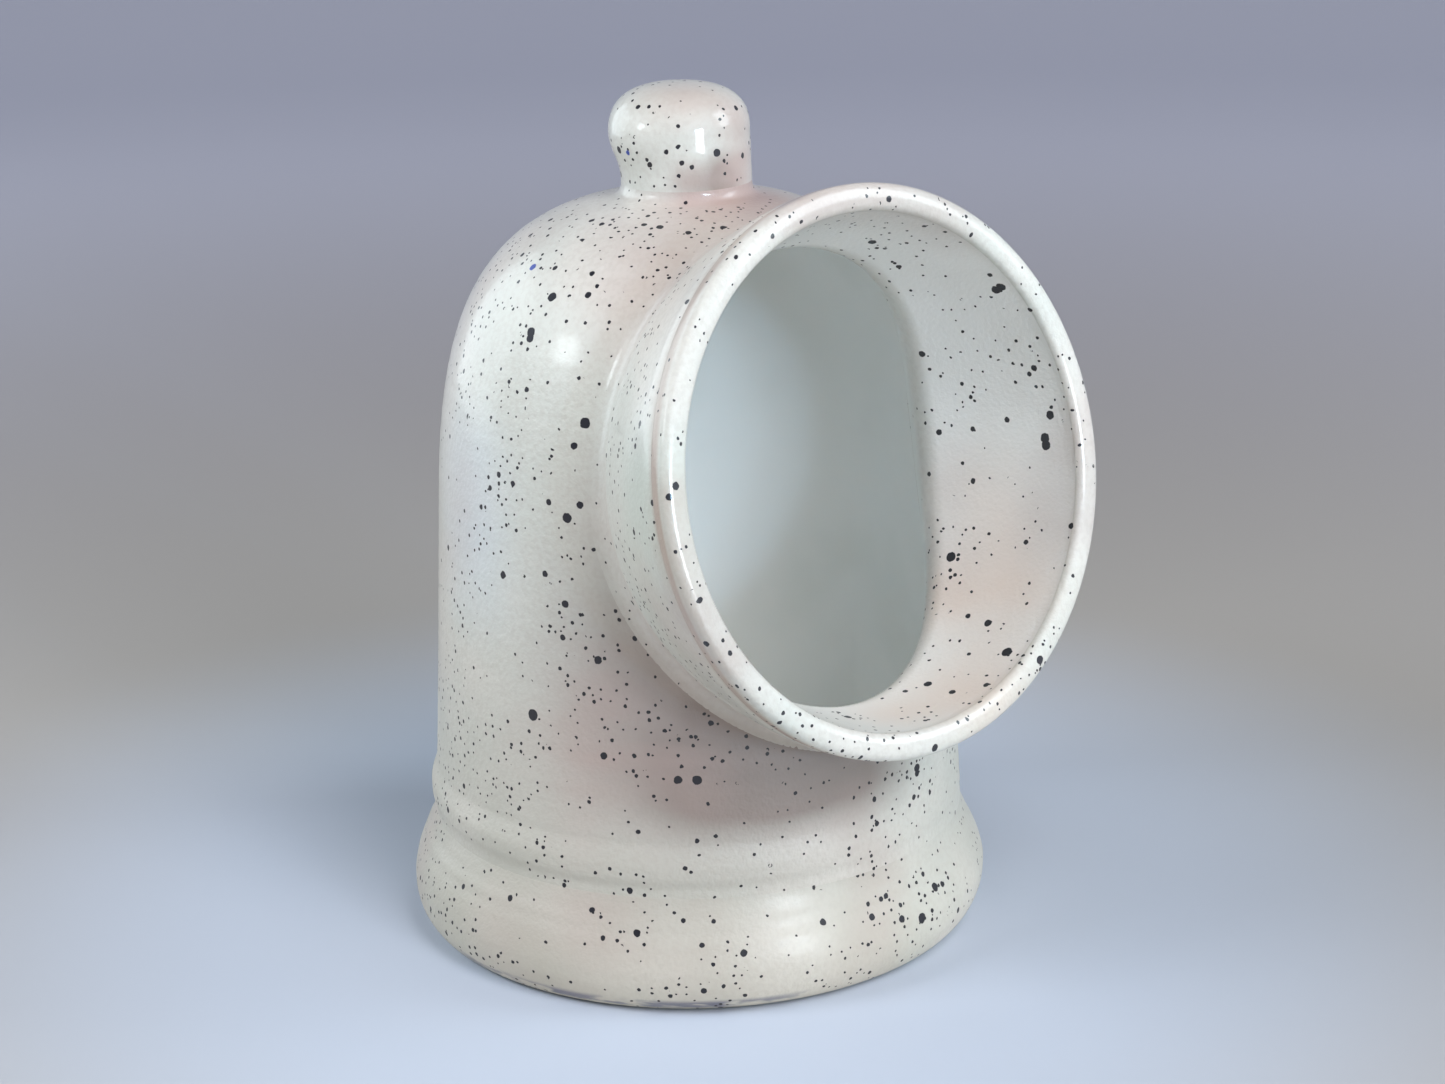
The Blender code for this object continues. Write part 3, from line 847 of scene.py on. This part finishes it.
inner_along = meeting(True, lining_face, -1)
inner_edge = collar_ring(inner_along, True)
inner_normal = lining_face(inner_edge)[1]
inner_away = away_from_mouth(inner_edge, inner_normal)
flange_place, flange_normal, _ = lining_face(inner_edge + INNER_EDGE_ROUND * inner_away)
flange_place = flange_place + FLANGE_LIFT * flange_normal
flange_reach = INNER_EDGE_ROUND + FLANGE_LENGTH
flange_end_place, flange_end_normal, _ = lining_face(inner_edge + flange_reach * inner_away)
flange_end = flange_end_place - SINK * flange_end_normal
passage_start = inner_along + INNER_EDGE_ROUND
passage_place = collar_ring(passage_start, True)
passage_aim = toward(passage_place, collar_ring(passage_start - AIM_STEP, True))
flange_aim = -along_face(inner_away, flange_normal)
soft_edge = bezier(
    flange_place,
    flange_place + EDGE_PULL * INNER_EDGE_ROUND * flange_aim,
    passage_place + EDGE_PULL * INNER_EDGE_ROUND * passage_aim,
    passage_place,
    steps=16,
)
lip_radius = LIP_THICKNESS / 2
lip_middle = RIM_INNER_RADIUS + lip_radius
lip_outside = RIM_INNER_RADIUS + LIP_THICKNESS
lip_front = RIM_DISTANCE + lip_radius
lip_start = lip_front - LIP_ROUND
roll_back = RIM_DISTANCE - LIP_ROLL
passage = [
    collar_ring(along, True)
    for along in passage_start + np.linspace(0, 1, 25)[1:, None] * (lip_start - passage_start)
]
lip_inner_edge = bezier(
    (RIM_INNER_RADIUS, lip_start),
    (RIM_INNER_RADIUS, lip_start + LIP_FULLNESS * LIP_ROUND),
    (lip_middle - LIP_FULLNESS * lip_radius, lip_front),
    (lip_middle, lip_front),
    steps=14,
)[1:]
lip_outer_edge = bezier(
    (lip_middle, lip_front),
    (lip_middle + LIP_FULLNESS * lip_radius, lip_front),
    (lip_outside, lip_start + LIP_FULLNESS * LIP_ROUND),
    (lip_outside, lip_start),
    steps=14,
)[1:]
lip_roll = bezier(
    (lip_outside, lip_start),
    (lip_outside, lip_start - LIP_ROLL_PULL),
    (lip_outside, roll_back + LIP_ROLL_END_PULL),
    (collar_radius(roll_back, False), roll_back),
    steps=14,
)[1:]
lip_outline = np.concatenate([lip_inner_edge, lip_outer_edge, lip_roll])
lip = [at_collar(radius, along) for radius, along in lip_outline]
outer_along = meeting(False, bell_face, 1)
outer_side = [
    collar_ring(along, False)
    for along in roll_back + np.linspace(0, 1, 27)[1:, None] * (outer_along - COLLAR_IN_BELL - roll_back)
]
collar_rings = np.stack([flange_end, *soft_edge, *passage, *lip, *outer_side])
passage_first = 1 + len(soft_edge)
lip_first = passage_first + len(passage)
edge_middle = passage_first // 2
lined_share = np.zeros(collar_rings.shape[:2])
lined_share[0] = 1
lined_share[1:passage_first] = np.clip(1.6 - 4 * np.linspace(0, 1, len(soft_edge)), 0, 1)[:, None]
passage_share = np.zeros(collar_rings.shape[:2])
passage_share[edge_middle:passage_first] = np.linspace(0, 1, passage_first - edge_middle)[:, None]
passage_share[passage_first:lip_first] = 1
collar_values = {"lined": lined_share, "inside": passage_share}
collar = clay_piece("mouth_collar_clay", collar_rings, attributes=collar_values)
TAN = linear(182, 166, 155)
# Painted light: a paler colour laid inside the collar.
PAINTED_LIGHT_PALE = linear(240, 239, 236)


def painted_light_inside(place):
    """Where the inside of the collar is painted paler, as painted light."""
    return 1.3 * place.node("Attribute", {"attribute_name": "inside"}, None, "Fac")


def lip_band(place):
    """Where the glaze thinned on the lip: the roll behind its front, and the front on the left."""
    from_middle = place.vector("SUBTRACT", place, tuple(MILLIMETRES * collar_origin))
    along = from_middle.dot(tuple(collar_axis))
    reach = from_middle.length()
    from_axis = (reach * reach - along * along) ** 0.5
    outside = from_axis.fade(MILLIMETRES * lip_middle + 0.8, MILLIMETRES * lip_outside - 0.3)
    behind_front = along.fade(MILLIMETRES * RIM_DISTANCE + 1.0, MILLIMETRES * RIM_DISTANCE - 0.6)
    before_wall = along.fade(MILLIMETRES * roll_back - 1.4, MILLIMETRES * roll_back + 0.8)
    return (1.3 * outside * behind_front * before_wall).over(patch_cover(place, tan_patches))


COLLAR_SPECKS = [
    (996, 290, 1.9), (1001, 287, 1.9), (1050, 415, 1.7), (1045, 438, 2.0), (1046, 445, 2.0),
    (1007, 420, 1.2), (951, 557, 2.0), (939, 432, 1.2), (922, 354, 1.4), (988, 623, 1.6),
    (968, 616, 1.1), (1007, 652, 2.2), (1040, 660, 1.7), (928, 684, 1.6), (952, 692, 1.4),
    (872, 242, 1.6), (1026, 542, 1.0), (1071, 526, 1.2), (1034, 368, 1.3), (955, 575, 0.9),
    (973, 481, 1.1), (929, 474, 1.0), (848, 717, 1.5), (889, 199, 1.2), (676, 486, 1.4), (669, 497, 1.3),
    (706, 644, 1.2), (935, 748, 1.5), (1030, 310, 1.0), (990, 275, 1.0),
]
COLLAR_BLUSHES = [
    (935, 560, 18, 0.25), (940, 470, 14, 0.15), (800, 198, 16, 0.55), (880, 190, 18, 0.5),
    (950, 210, 16, 0.35),
]
COLLAR_CROWDS = [
    (640, 520, 12, 1.0), (650, 600, 14, 1.0), (690, 650, 14, 0.8), (960, 300, 34, -0.8),
    (1020, 420, 24, -0.5), (889, 199, 20, -0.6), (1071, 526, 18, -0.5), (676, 486, 16, -0.5),
    (848, 717, 16, -0.4), (935, 748, 16, -0.6),
]
PEACH = linear(224, 200, 184)
# The glaze is warm inside the collar, to the right and below.
PEACH_PATCHES = [
    (1000, 590, 22, 0.8), (960, 690, 22, 0.8), (985, 500, 18, 0.5), (935, 600, 16, 0.5),
    (885, 715, 14, 0.5),
]
CELADON = linear(200, 210, 200)
# It pools greenish on the outside of the collar.
CELADON_PATCHES = [(640, 480, 16, 0.7), (640, 560, 16, 0.7), (665, 640, 14, 0.5)]
TAN_PATCHES = [(671, 500, 9, 0.55), (672, 560, 10, 0.6), (682, 610, 9, 0.6), (712, 660, 9, 0.4)]
tan_patches = seen_on(collar.data, TAN_PATCHES)
collar_blushes = seen_on(collar.data, COLLAR_BLUSHES)
collar_tinges = [
    (CELADON, covered_by(collar.data, CELADON_PATCHES)),
    (TAN, lip_band),
    (PAINTED_LIGHT_PALE, painted_light_inside),
    (PEACH, covered_by(collar.data, PEACH_PATCHES)),
]
collar_glaze = speckled_glaze(
    "collar_glaze",
    collar.data,
    COLLAR_SPECKS,
    blushes_and_shade=collar_blushes,
    tinges=collar_tinges,
    crowds=COLLAR_CROWDS,
    lined="lined",
)
coat(collar, collar_glaze)
place_piece(collar, "mouth_collar")

# The hole in the bell, cut with a blade while the clay is leather-hard. It is cut so far back that
# the collar's soft inner edge, wiped over it from the inside, covers the cut.
CUT_BEHIND_EDGE = 0.0004
CUTTER_START = 0.004
CUTTER_BEYOND_RIM = 0.010
cut_place, _, _ = lining_face(inner_edge + (INNER_EDGE_ROUND + CUT_BEHIND_EDGE) * inner_away)
cut_along = (cut_place - collar_origin) @ collar_axis
cut_across = cut_place @ collar_across / squeeze(cut_along)
cut_margin = np.hypot(cut_across, (cut_place - collar_origin) @ collar_up) - collar_radius(cut_along, True)
cutter_along = np.linspace(CUTTER_START, RIM_DISTANCE + CUTTER_BEYOND_RIM, 30)
cutter_rings = [collar_ring(along, True, cut_margin) for along in cutter_along]
cutter_start, cutter_end = [
    np.repeat([collar_origin + along * collar_axis], TURN_STEPS, axis=0) for along in cutter_along[[0, -1]]
]
cutter = clay_piece("mouth_cutter", np.stack([cutter_start, *cutter_rings, cutter_end]))
knife = bell.modifiers.new("mouth_hole", "BOOLEAN")
knife.operation = "DIFFERENCE"
knife.solver = "EXACT"
knife.object = cutter
open_bell = bpy.data.meshes.new_from_object(bell.evaluated_get(bpy.context.evaluated_depsgraph_get()))
bell.modifiers.clear()
bell.data = open_bell
open_bell.name = "bell_clay"
open_bell.set_sharp_from_angle(angle=FLAT_ANGLE)
bpy.data.objects.remove(cutter)
place_piece(bell, "bell_body")

# Collar coil: a thin coil of soft clay pressed into the corner behind the collar and thumbed hollow,
# so that the glaze runs from the bell onto the collar without a line.
COLLAR_COIL_REACH = 0.0032
COIL_TAIL = 0.0009
COIL_PULL = 0.55
CORNER_DEPTH = 0.0006
CORNER_BACK = 0.0008


def coil_between(corner, first, first_aim, second, second_aim, first_tail, second_tail):
    """Rings of a hollow coil from one clay face to another; its thin edges sink into both."""
    first_pull = first + COIL_PULL * np.linalg.norm(corner - first, axis=1)[:, None] * first_aim
    second_pull = second + COIL_PULL * np.linalg.norm(corner - second, axis=1)[:, None] * second_aim
    hollow = bezier(first, first_pull, second_pull, second, steps=14)
    return np.stack([corner, first_tail, *hollow, second_tail])


outer_edge = collar_ring(outer_along, False)
outer_normal = bell_face(outer_edge)[1]
outer_away = away_from_mouth(outer_edge, outer_normal)
on_bell, on_bell_normal, _ = bell_face(outer_edge + COLLAR_COIL_REACH * outer_away)
bell_tail, bell_tail_normal, _ = bell_face(outer_edge + (COLLAR_COIL_REACH + COIL_TAIL) * outer_away)
bell_tail = bell_tail - SINK * bell_tail_normal
bell_aim = -along_face(outer_away, on_bell_normal)
side_along = outer_along + COLLAR_COIL_REACH
on_side = collar_ring(side_along, False)
side_aim = toward(on_side, collar_ring(side_along - AIM_STEP, False))
side_tail = collar_ring(side_along + COIL_TAIL, False, -SINK)
deep_corner = collar_ring(outer_along - CORNER_BACK, False, -CORNER_DEPTH)
collar_coil_rings = coil_between(deep_corner, on_bell, bell_aim, on_side, side_aim, bell_tail, side_tail)
collar_coil = clay_piece("collar_coil_clay", collar_coil_rings)
coat(
    collar_coil,
    speckled_glaze("collar_coil_glaze", collar_coil.data, blushes_and_shade=bell_blushes_and_shade + collar_blushes),
)
place_piece(collar_coil, "collar_coil")

# Knob: a solid lump of clay, pressed onto the crown while both were soft, so it leans a little and
# bulges to one side. The glaze is thick and glossy on it.
KNOB_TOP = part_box("knob")[1].z
KNOB_NECK_RADIUS = 0.0130
KNOB_BULGE_RADIUS = 0.0139
KNOB_BULGE_HEIGHT = CROWN_HEIGHT + 0.0118
KNOB_FULLNESS = 0.68
KNOB_LEAN = 0.0018
KNOB_LEAN_DIRECTION = math.radians(91)
KNOB_LUMP = 0.0008
KNOB_LUMP_DIRECTION = math.radians(-162)
KNOB_LUMP_HEIGHT = 0.1625
KNOB_LUMP_SIZE = 0.0045
KNOB_COIL_REACH = 0.0022
KNOB_DEPTH = 0.0015
NECK_ABOVE_COIL = 0.0006


def dome_height(radius):
    """The height of the bell's outside at a radius on its dome."""
    dome = dome_outline(200)[::-1]
    return np.interp(radius, dome[:, 0], dome[:, 1])


neck_top = dome_height(KNOB_NECK_RADIUS) + KNOB_COIL_REACH + NECK_ABOVE_COIL
knob_foot = dome_height(KNOB_NECK_RADIUS) - KNOB_DEPTH
knob_neck = [(KNOB_NECK_RADIUS, height) for height in np.linspace(knob_foot, neck_top, 9)[:-1]]
knob_swell = bezier(
    (KNOB_NECK_RADIUS, neck_top),
    (KNOB_NECK_RADIUS, (neck_top + KNOB_BULGE_HEIGHT) / 2),
    (KNOB_BULGE_RADIUS, (neck_top + KNOB_BULGE_HEIGHT) / 2),
    (KNOB_BULGE_RADIUS, KNOB_BULGE_HEIGHT),
    steps=24,
)
knob_crown = bezier(
    (KNOB_BULGE_RADIUS, KNOB_BULGE_HEIGHT),
    (KNOB_BULGE_RADIUS, KNOB_BULGE_HEIGHT + KNOB_FULLNESS * (KNOB_TOP - KNOB_BULGE_HEIGHT)),
    (KNOB_FULLNESS * KNOB_BULGE_RADIUS, KNOB_TOP),
    (0, KNOB_TOP),
    steps=48,
)
knob_outline = np.concatenate([[(0, knob_foot)], knob_neck, knob_swell, knob_crown[1:]])
knob_rings = turned(same_all_round(knob_outline))
lump_face = np.clip(np.cos(around - KNOB_LUMP_DIRECTION), 0, 1) ** 2
lump_height = (knob_rings[..., 2] - KNOB_LUMP_HEIGHT) / KNOB_LUMP_SIZE
lump = KNOB_LUMP * lump_face * np.exp(-(lump_height**2))
knob_rings[..., 0] += lump * np.cos(around)
knob_rings[..., 1] += lump * np.sin(around)
lean_share = np.clip((knob_rings[..., 2] - neck_top) / (KNOB_BULGE_HEIGHT - neck_top), 0, 1)
lean = KNOB_LEAN * lean_share**2 * (3 - 2 * lean_share)
knob_rings[..., 0] += lean * math.cos(KNOB_LEAN_DIRECTION)
knob_rings[..., 1] += lean * math.sin(KNOB_LEAN_DIRECTION)
knob = clay_piece("knob_clay", knob_rings)
KNOB_SPECKS = [
    (717, 153, 1.5), (619, 150, 1.5), (736, 108, 1.1), (678, 126, 0.8), (666, 152, 0.9), (682, 163, 1.0),
    (692, 167, 0.9), (638, 107, 1.0), (621, 174, 1.2),
]
KNOB_COBALT = [(628, 153, 1.0)]
# Pink patches: glaze blush, and round the foot of the neck partly painted shade.
KNOB_BLUSHES_AND_SHADE = [
    (670, 92, 12, 0.35), (710, 98, 11, 0.3), (728, 178, 8, 0.6), (745, 168, 8, 0.6),
    (690, 182, 6, 0.55), (738, 125, 9, 0.45),
]
KNOB_CROWDS = [(637, 172, 7, 1.5), (735, 174, 7, 1.5), (690, 180, 7, 1.2)]
# Painted shade, brown, in the corner at the foot of the neck.
NECK_SHADE_PATCHES = [(722, 180, 8, 1.6), (690, 183, 5, 0.6)]
knob_blushes_and_shade = seen_on(knob.data, KNOB_BLUSHES_AND_SHADE)
knob_glaze = speckled_glaze(
    "knob_glaze",
    knob.data,
    KNOB_SPECKS,
    KNOB_COBALT,
    knob_blushes_and_shade,
    [(SHADE_BROWN, covered_by(knob.data, NECK_SHADE_PATCHES))],
    KNOB_CROWDS,
    softness=0.08,
)
coat(knob, knob_glaze)
place_piece(knob, "knob")

# Knob coil: a thin coil of soft clay worked into the corner round the knob's neck with a finger. It
# leaves a small hollow there, and round it the knob and the coil are darkened with painted shade.
COIL_AIM_STEP = 0.0004
NECK_COIL_DROP = 0.0004
NECK_TAIL = 0.0002


def ring_at(radius, height):
    """Points round the pot's axis at one radius and height."""
    return turned(same_all_round([(radius, height)]))[0]


def on_dome(radius):
    """Places and normals round the dome's real, uneven face at a radius."""
    return bell_face(ring_at(radius, dome_height(radius)))[:2]


coil_outer = KNOB_NECK_RADIUS + KNOB_COIL_REACH
dome_place, _ = on_dome(coil_outer)
dome_inward, _ = on_dome(coil_outer - COIL_AIM_STEP)
dome_tail, dome_tail_normal = on_dome(coil_outer + COIL_TAIL)
dome_tail = dome_tail - SINK * dome_tail_normal
coil_top = neck_top - NECK_COIL_DROP
neck_place = ring_at(KNOB_NECK_RADIUS, coil_top)
neck_below = ring_at(KNOB_NECK_RADIUS, coil_top - COIL_AIM_STEP)
neck_tail = ring_at(KNOB_NECK_RADIUS - SINK, neck_top + NECK_TAIL)
neck_corner = ring_at(KNOB_NECK_RADIUS - CORNER_DEPTH, dome_height(KNOB_NECK_RADIUS) - CORNER_DEPTH)
knob_coil_rings = coil_between(
    neck_corner,
    dome_place,
    toward(dome_place, dome_inward),
    neck_place,
    toward(neck_place, neck_below),
    dome_tail,
    neck_tail,
)
knob_coil = clay_piece("knob_coil_clay", knob_coil_rings)
coat(knob_coil, speckled_glaze("knob_coil_glaze", knob_coil.data, blushes_and_shade=bell_blushes_and_shade + knob_blushes_and_shade))
place_piece(knob_coil, "knob_coil")

# Seam coil: a coil pressed over the seam of bell and dish on the inside and smoothed with a finger,
# under the same plain liner as the walls.
SEAM_COIL_HEIGHT = 0.0080
SEAM_COIL_PROUD = 0.0020
SEAM_COIL_PULL = 1.33
SEAM_COIL_DEPTH = 0.001
FINGER_MARK = 0.00025
FINGER_MARKS = 17
seam_middle = tongue_bottom
seam_coil_bottom = seam_middle - SEAM_COIL_HEIGHT / 2
seam_coil_top = seam_middle + SEAM_COIL_HEIGHT / 2
seam_coil_face = chamber_radius - SEAM_COIL_PROUD * SEAM_COIL_PULL
coil_front = bezier(
    (chamber_radius + SINK, seam_coil_bottom),
    (seam_coil_face, seam_middle - SEAM_COIL_HEIGHT / 4),
    (seam_coil_face, seam_middle + SEAM_COIL_HEIGHT / 4),
    (wall_radius(seam_coil_top) - WALL + SINK, seam_coil_top),
    steps=16,
)
coil_back = [(chamber_radius + SEAM_COIL_DEPTH, seam_middle)]
seam_rings = same_all_round(np.concatenate([coil_front, coil_back]))
finger_marks = np.sin(FINGER_MARKS * around) * np.sin(math.pi * np.linspace(0, 1, len(coil_front)))[:, None]
seam_rings[: len(coil_front), :, 0] += FINGER_MARK * finger_marks
seam_coil = clay_piece("base_seam_coil_clay", turned(seam_rings))
coat(seam_coil, liner_glaze("seam_coil_liner"))
place_piece(seam_coil, "base_seam_coil")

# Studio: a pale blue-grey paper cove all round, bent up from the floor, with soft boxes at the front,
# left, right and back. Some leave out their mirror image or their light, and two narrow lamps shine
# into the mouth.
POT_MIDDLE = Vector((0, 0, 0.09))
COVE_RADIUS = 2.2
COVE_CORNER = 0.9
COVE_HEIGHT = 2.2
COVE_FLOOR = (0.001, 0.3, 0.7)
PAPER_POOL_OF_LIGHT = linear(191, 201, 218)
PAPER_MIDDLE = linear(174, 171, 169)
PAPER_FAR = linear(177, 173, 175)
PAPER_GLOW = (0.190, 0.210, 0.29, 1)
PAPER_BOUNCE = linear(187, 185, 180)
PAPER_BOUNCE_NEAR = linear(226, 224, 219)
BLACK = (0, 0, 0, 1)

cove_middle = (COVE_RADIUS - COVE_CORNER, COVE_CORNER)
cove_corner = arc(cove_middle, (COVE_CORNER, COVE_CORNER), -math.pi / 2, 0, steps=24)
cove_floor = [(radius, 0) for radius in COVE_FLOOR]
cove_outline = np.concatenate([cove_floor, cove_corner, [(COVE_RADIUS, COVE_HEIGHT)]])
cove_rings = turned(same_all_round(cove_outline))
cove_mesh = bpy.data.meshes.new("paper_cove")
cove_count = len(cove_outline)
cove_index = np.arange(cove_count * TURN_STEPS).reshape(cove_count, TURN_STEPS)
cove_next = np.roll(cove_index, -1, axis=1)
cove_faces = np.stack([cove_index[:-1], cove_next[:-1], cove_next[1:], cove_index[1:]], axis=-1)
cove_faces = cove_faces.reshape(-1, 4).tolist() + [cove_index[0].tolist()[::-1]]
cove_mesh.from_pydata(cove_rings.reshape(-1, 3).tolist(), [], cove_faces)
cove_mesh.shade_smooth()
cove = bpy.data.objects.new("paper_cove", cove_mesh)
bpy.context.scene.collection.objects.link(cove)
paper, paper_sockets, paper_place = new_glaze("paper")
reach = paper_place.length()
# The paper that is seen is painted lighter near the pot, a painted pool of light that fades into the greyer
# paper further out.
paper_colour = reach.fade(90, 220).tint(PAPER_POOL_OF_LIGHT, PAPER_MIDDLE)
paper_colour = reach.fade(150, 600).tint(paper_colour, PAPER_FAR)
ray = paper_place.node("LightPath", None, None, "Is Camera Ray")
glossy_ray = Shade(ray.socket.node.outputs["Is Glossy Ray"])
clear_ray = Shade(ray.socket.node.outputs["Is Transmission Ray"])
seen = (ray + glossy_ray + clear_ray).clamped()
paper_bounce = reach.fade(75, 125).tint(PAPER_BOUNCE_NEAR, PAPER_BOUNCE)
feed(paper_sockets["Base Color"], seen.tint(paper_bounce, paper_colour))
feed(paper_sockets["Emission Color"], (seen * reach.fade(200, 1050)).tint(BLACK, PAPER_GLOW))
paper_sockets["Emission Strength"].default_value = 1.0
paper_sockets["Roughness"].default_value = 0.9
paper_sockets["Specular IOR Level"].default_value = 0.1
coat(cove, paper)


def hang_lamp(name, kind, middle, target, power, colour):
    """A lamp of a kind, hung at a place and turned towards another."""
    lamp = bpy.data.lights.new(name, kind)
    lamp.energy = power
    lamp.color = colour
    hung = bpy.data.objects.new(name, lamp)
    hung.location = middle
    hung.rotation_euler = (middle - target).to_track_quat("Z", "Y").to_euler()
    bpy.context.scene.collection.objects.link(hung)
    return hung


def soft_box(name, middle, size, power, colour, shape="RECTANGLE", shines=True, lights=True):
    """A soft box that faces the middle of the pot. It may leave out its mirror image or its light."""
    box = hang_lamp(name, "AREA", middle, POT_MIDDLE, power, colour)
    box.data.shape = shape
    box.data.size, box.data.size_y = size
    box.visible_camera = False
    box.visible_glossy = shines
    box.visible_diffuse = lights


def at_bearing(bearing, height, distance):
    """A place by its bearing in degrees from the mouth, positive to its right, its height and distance."""
    flat = math.cos(math.radians(height))
    turn = math.radians(bearing)
    direction = Vector((flat * math.sin(turn), -flat * math.cos(turn), math.sin(math.radians(height))))
    return POT_MIDDLE + distance * direction


COOL = (0.93, 0.97, 1.0)
DAYLIGHT = (0.84, 0.95, 1.0)
SKY = (0.40, 0.68, 1.0)
SKY_DEEP = (0.50, 0.77, 1.0)
WARM = (1.0, 0.965, 0.95)
soft_box("left_box", at_bearing(-108, 34, 0.6), (0.28, 0.28), 2.1, COOL, shines=False)
soft_box("left_glint", at_bearing(-105, 27, 1.0), (0.22, 0.22), 1.1, DAYLIGHT, "ELLIPSE", lights=False)
soft_box("front_box", at_bearing(-6, 46, 1.1), (0.50, 0.95), 8.8, WARM, shines=False)
soft_box("low_box", at_bearing(-4, 14, 1.2), (0.20, 0.20), 2.4, COOL, shines=False)
soft_box("window", at_bearing(43, 26, 1.1), (0.35, 0.65), 4.6, DAYLIGHT)
soft_box("back_panel", at_bearing(-158, 12, 1.2), (0.9, 1.0), 6.0, DAYLIGHT, lights=False)
soft_box("back_fill", at_bearing(-148, 20, 1.2), (0.6, 0.6), 2.4, DAYLIGHT, shines=False)
soft_box("strip", at_bearing(-2, 8, 1.0), (0.22, 0.30), 4.4, COOL, lights=False)
MOUTH_BEAM = 0.082
MOUTH_BEAM_BLEND = 0.25
MOUTH_LAMP_SIZE = 0.08
MOUTH_LAMP_HEIGHT = 12
MOUTH_LAMP_DISTANCE = 1.2
mouth_middle = Vector(collar_origin + RIM_DISTANCE * collar_axis)


def mouth_lamp(name, bearing, power, colour):
    """A narrow lamp that shines through the mouth onto the inside of the bell."""
    middle = at_bearing(bearing, MOUTH_LAMP_HEIGHT, MOUTH_LAMP_DISTANCE)
    snoot = hang_lamp(name, "SPOT", mouth_middle + middle - POT_MIDDLE, mouth_middle, power, colour)
    snoot.data.spot_size = MOUTH_BEAM
    snoot.data.spot_blend = MOUTH_BEAM_BLEND
    snoot.data.shadow_soft_size = MOUTH_LAMP_SIZE


mouth_lamp("mouth_lamp_left", -8, 29.0, SKY)
mouth_lamp("mouth_lamp_right", 0, 22.0, SKY_DEEP)

WORLD_COLOUR = (0.72, 0.78, 0.90, 1)
WORLD_STRENGTH = 0.05
world = bpy.data.worlds.new("studio")
world.use_nodes = True
all_round = world.node_tree.nodes["Background"].inputs
all_round["Color"].default_value = WORLD_COLOUR
all_round["Strength"].default_value = WORLD_STRENGTH
bpy.context.scene.world = world
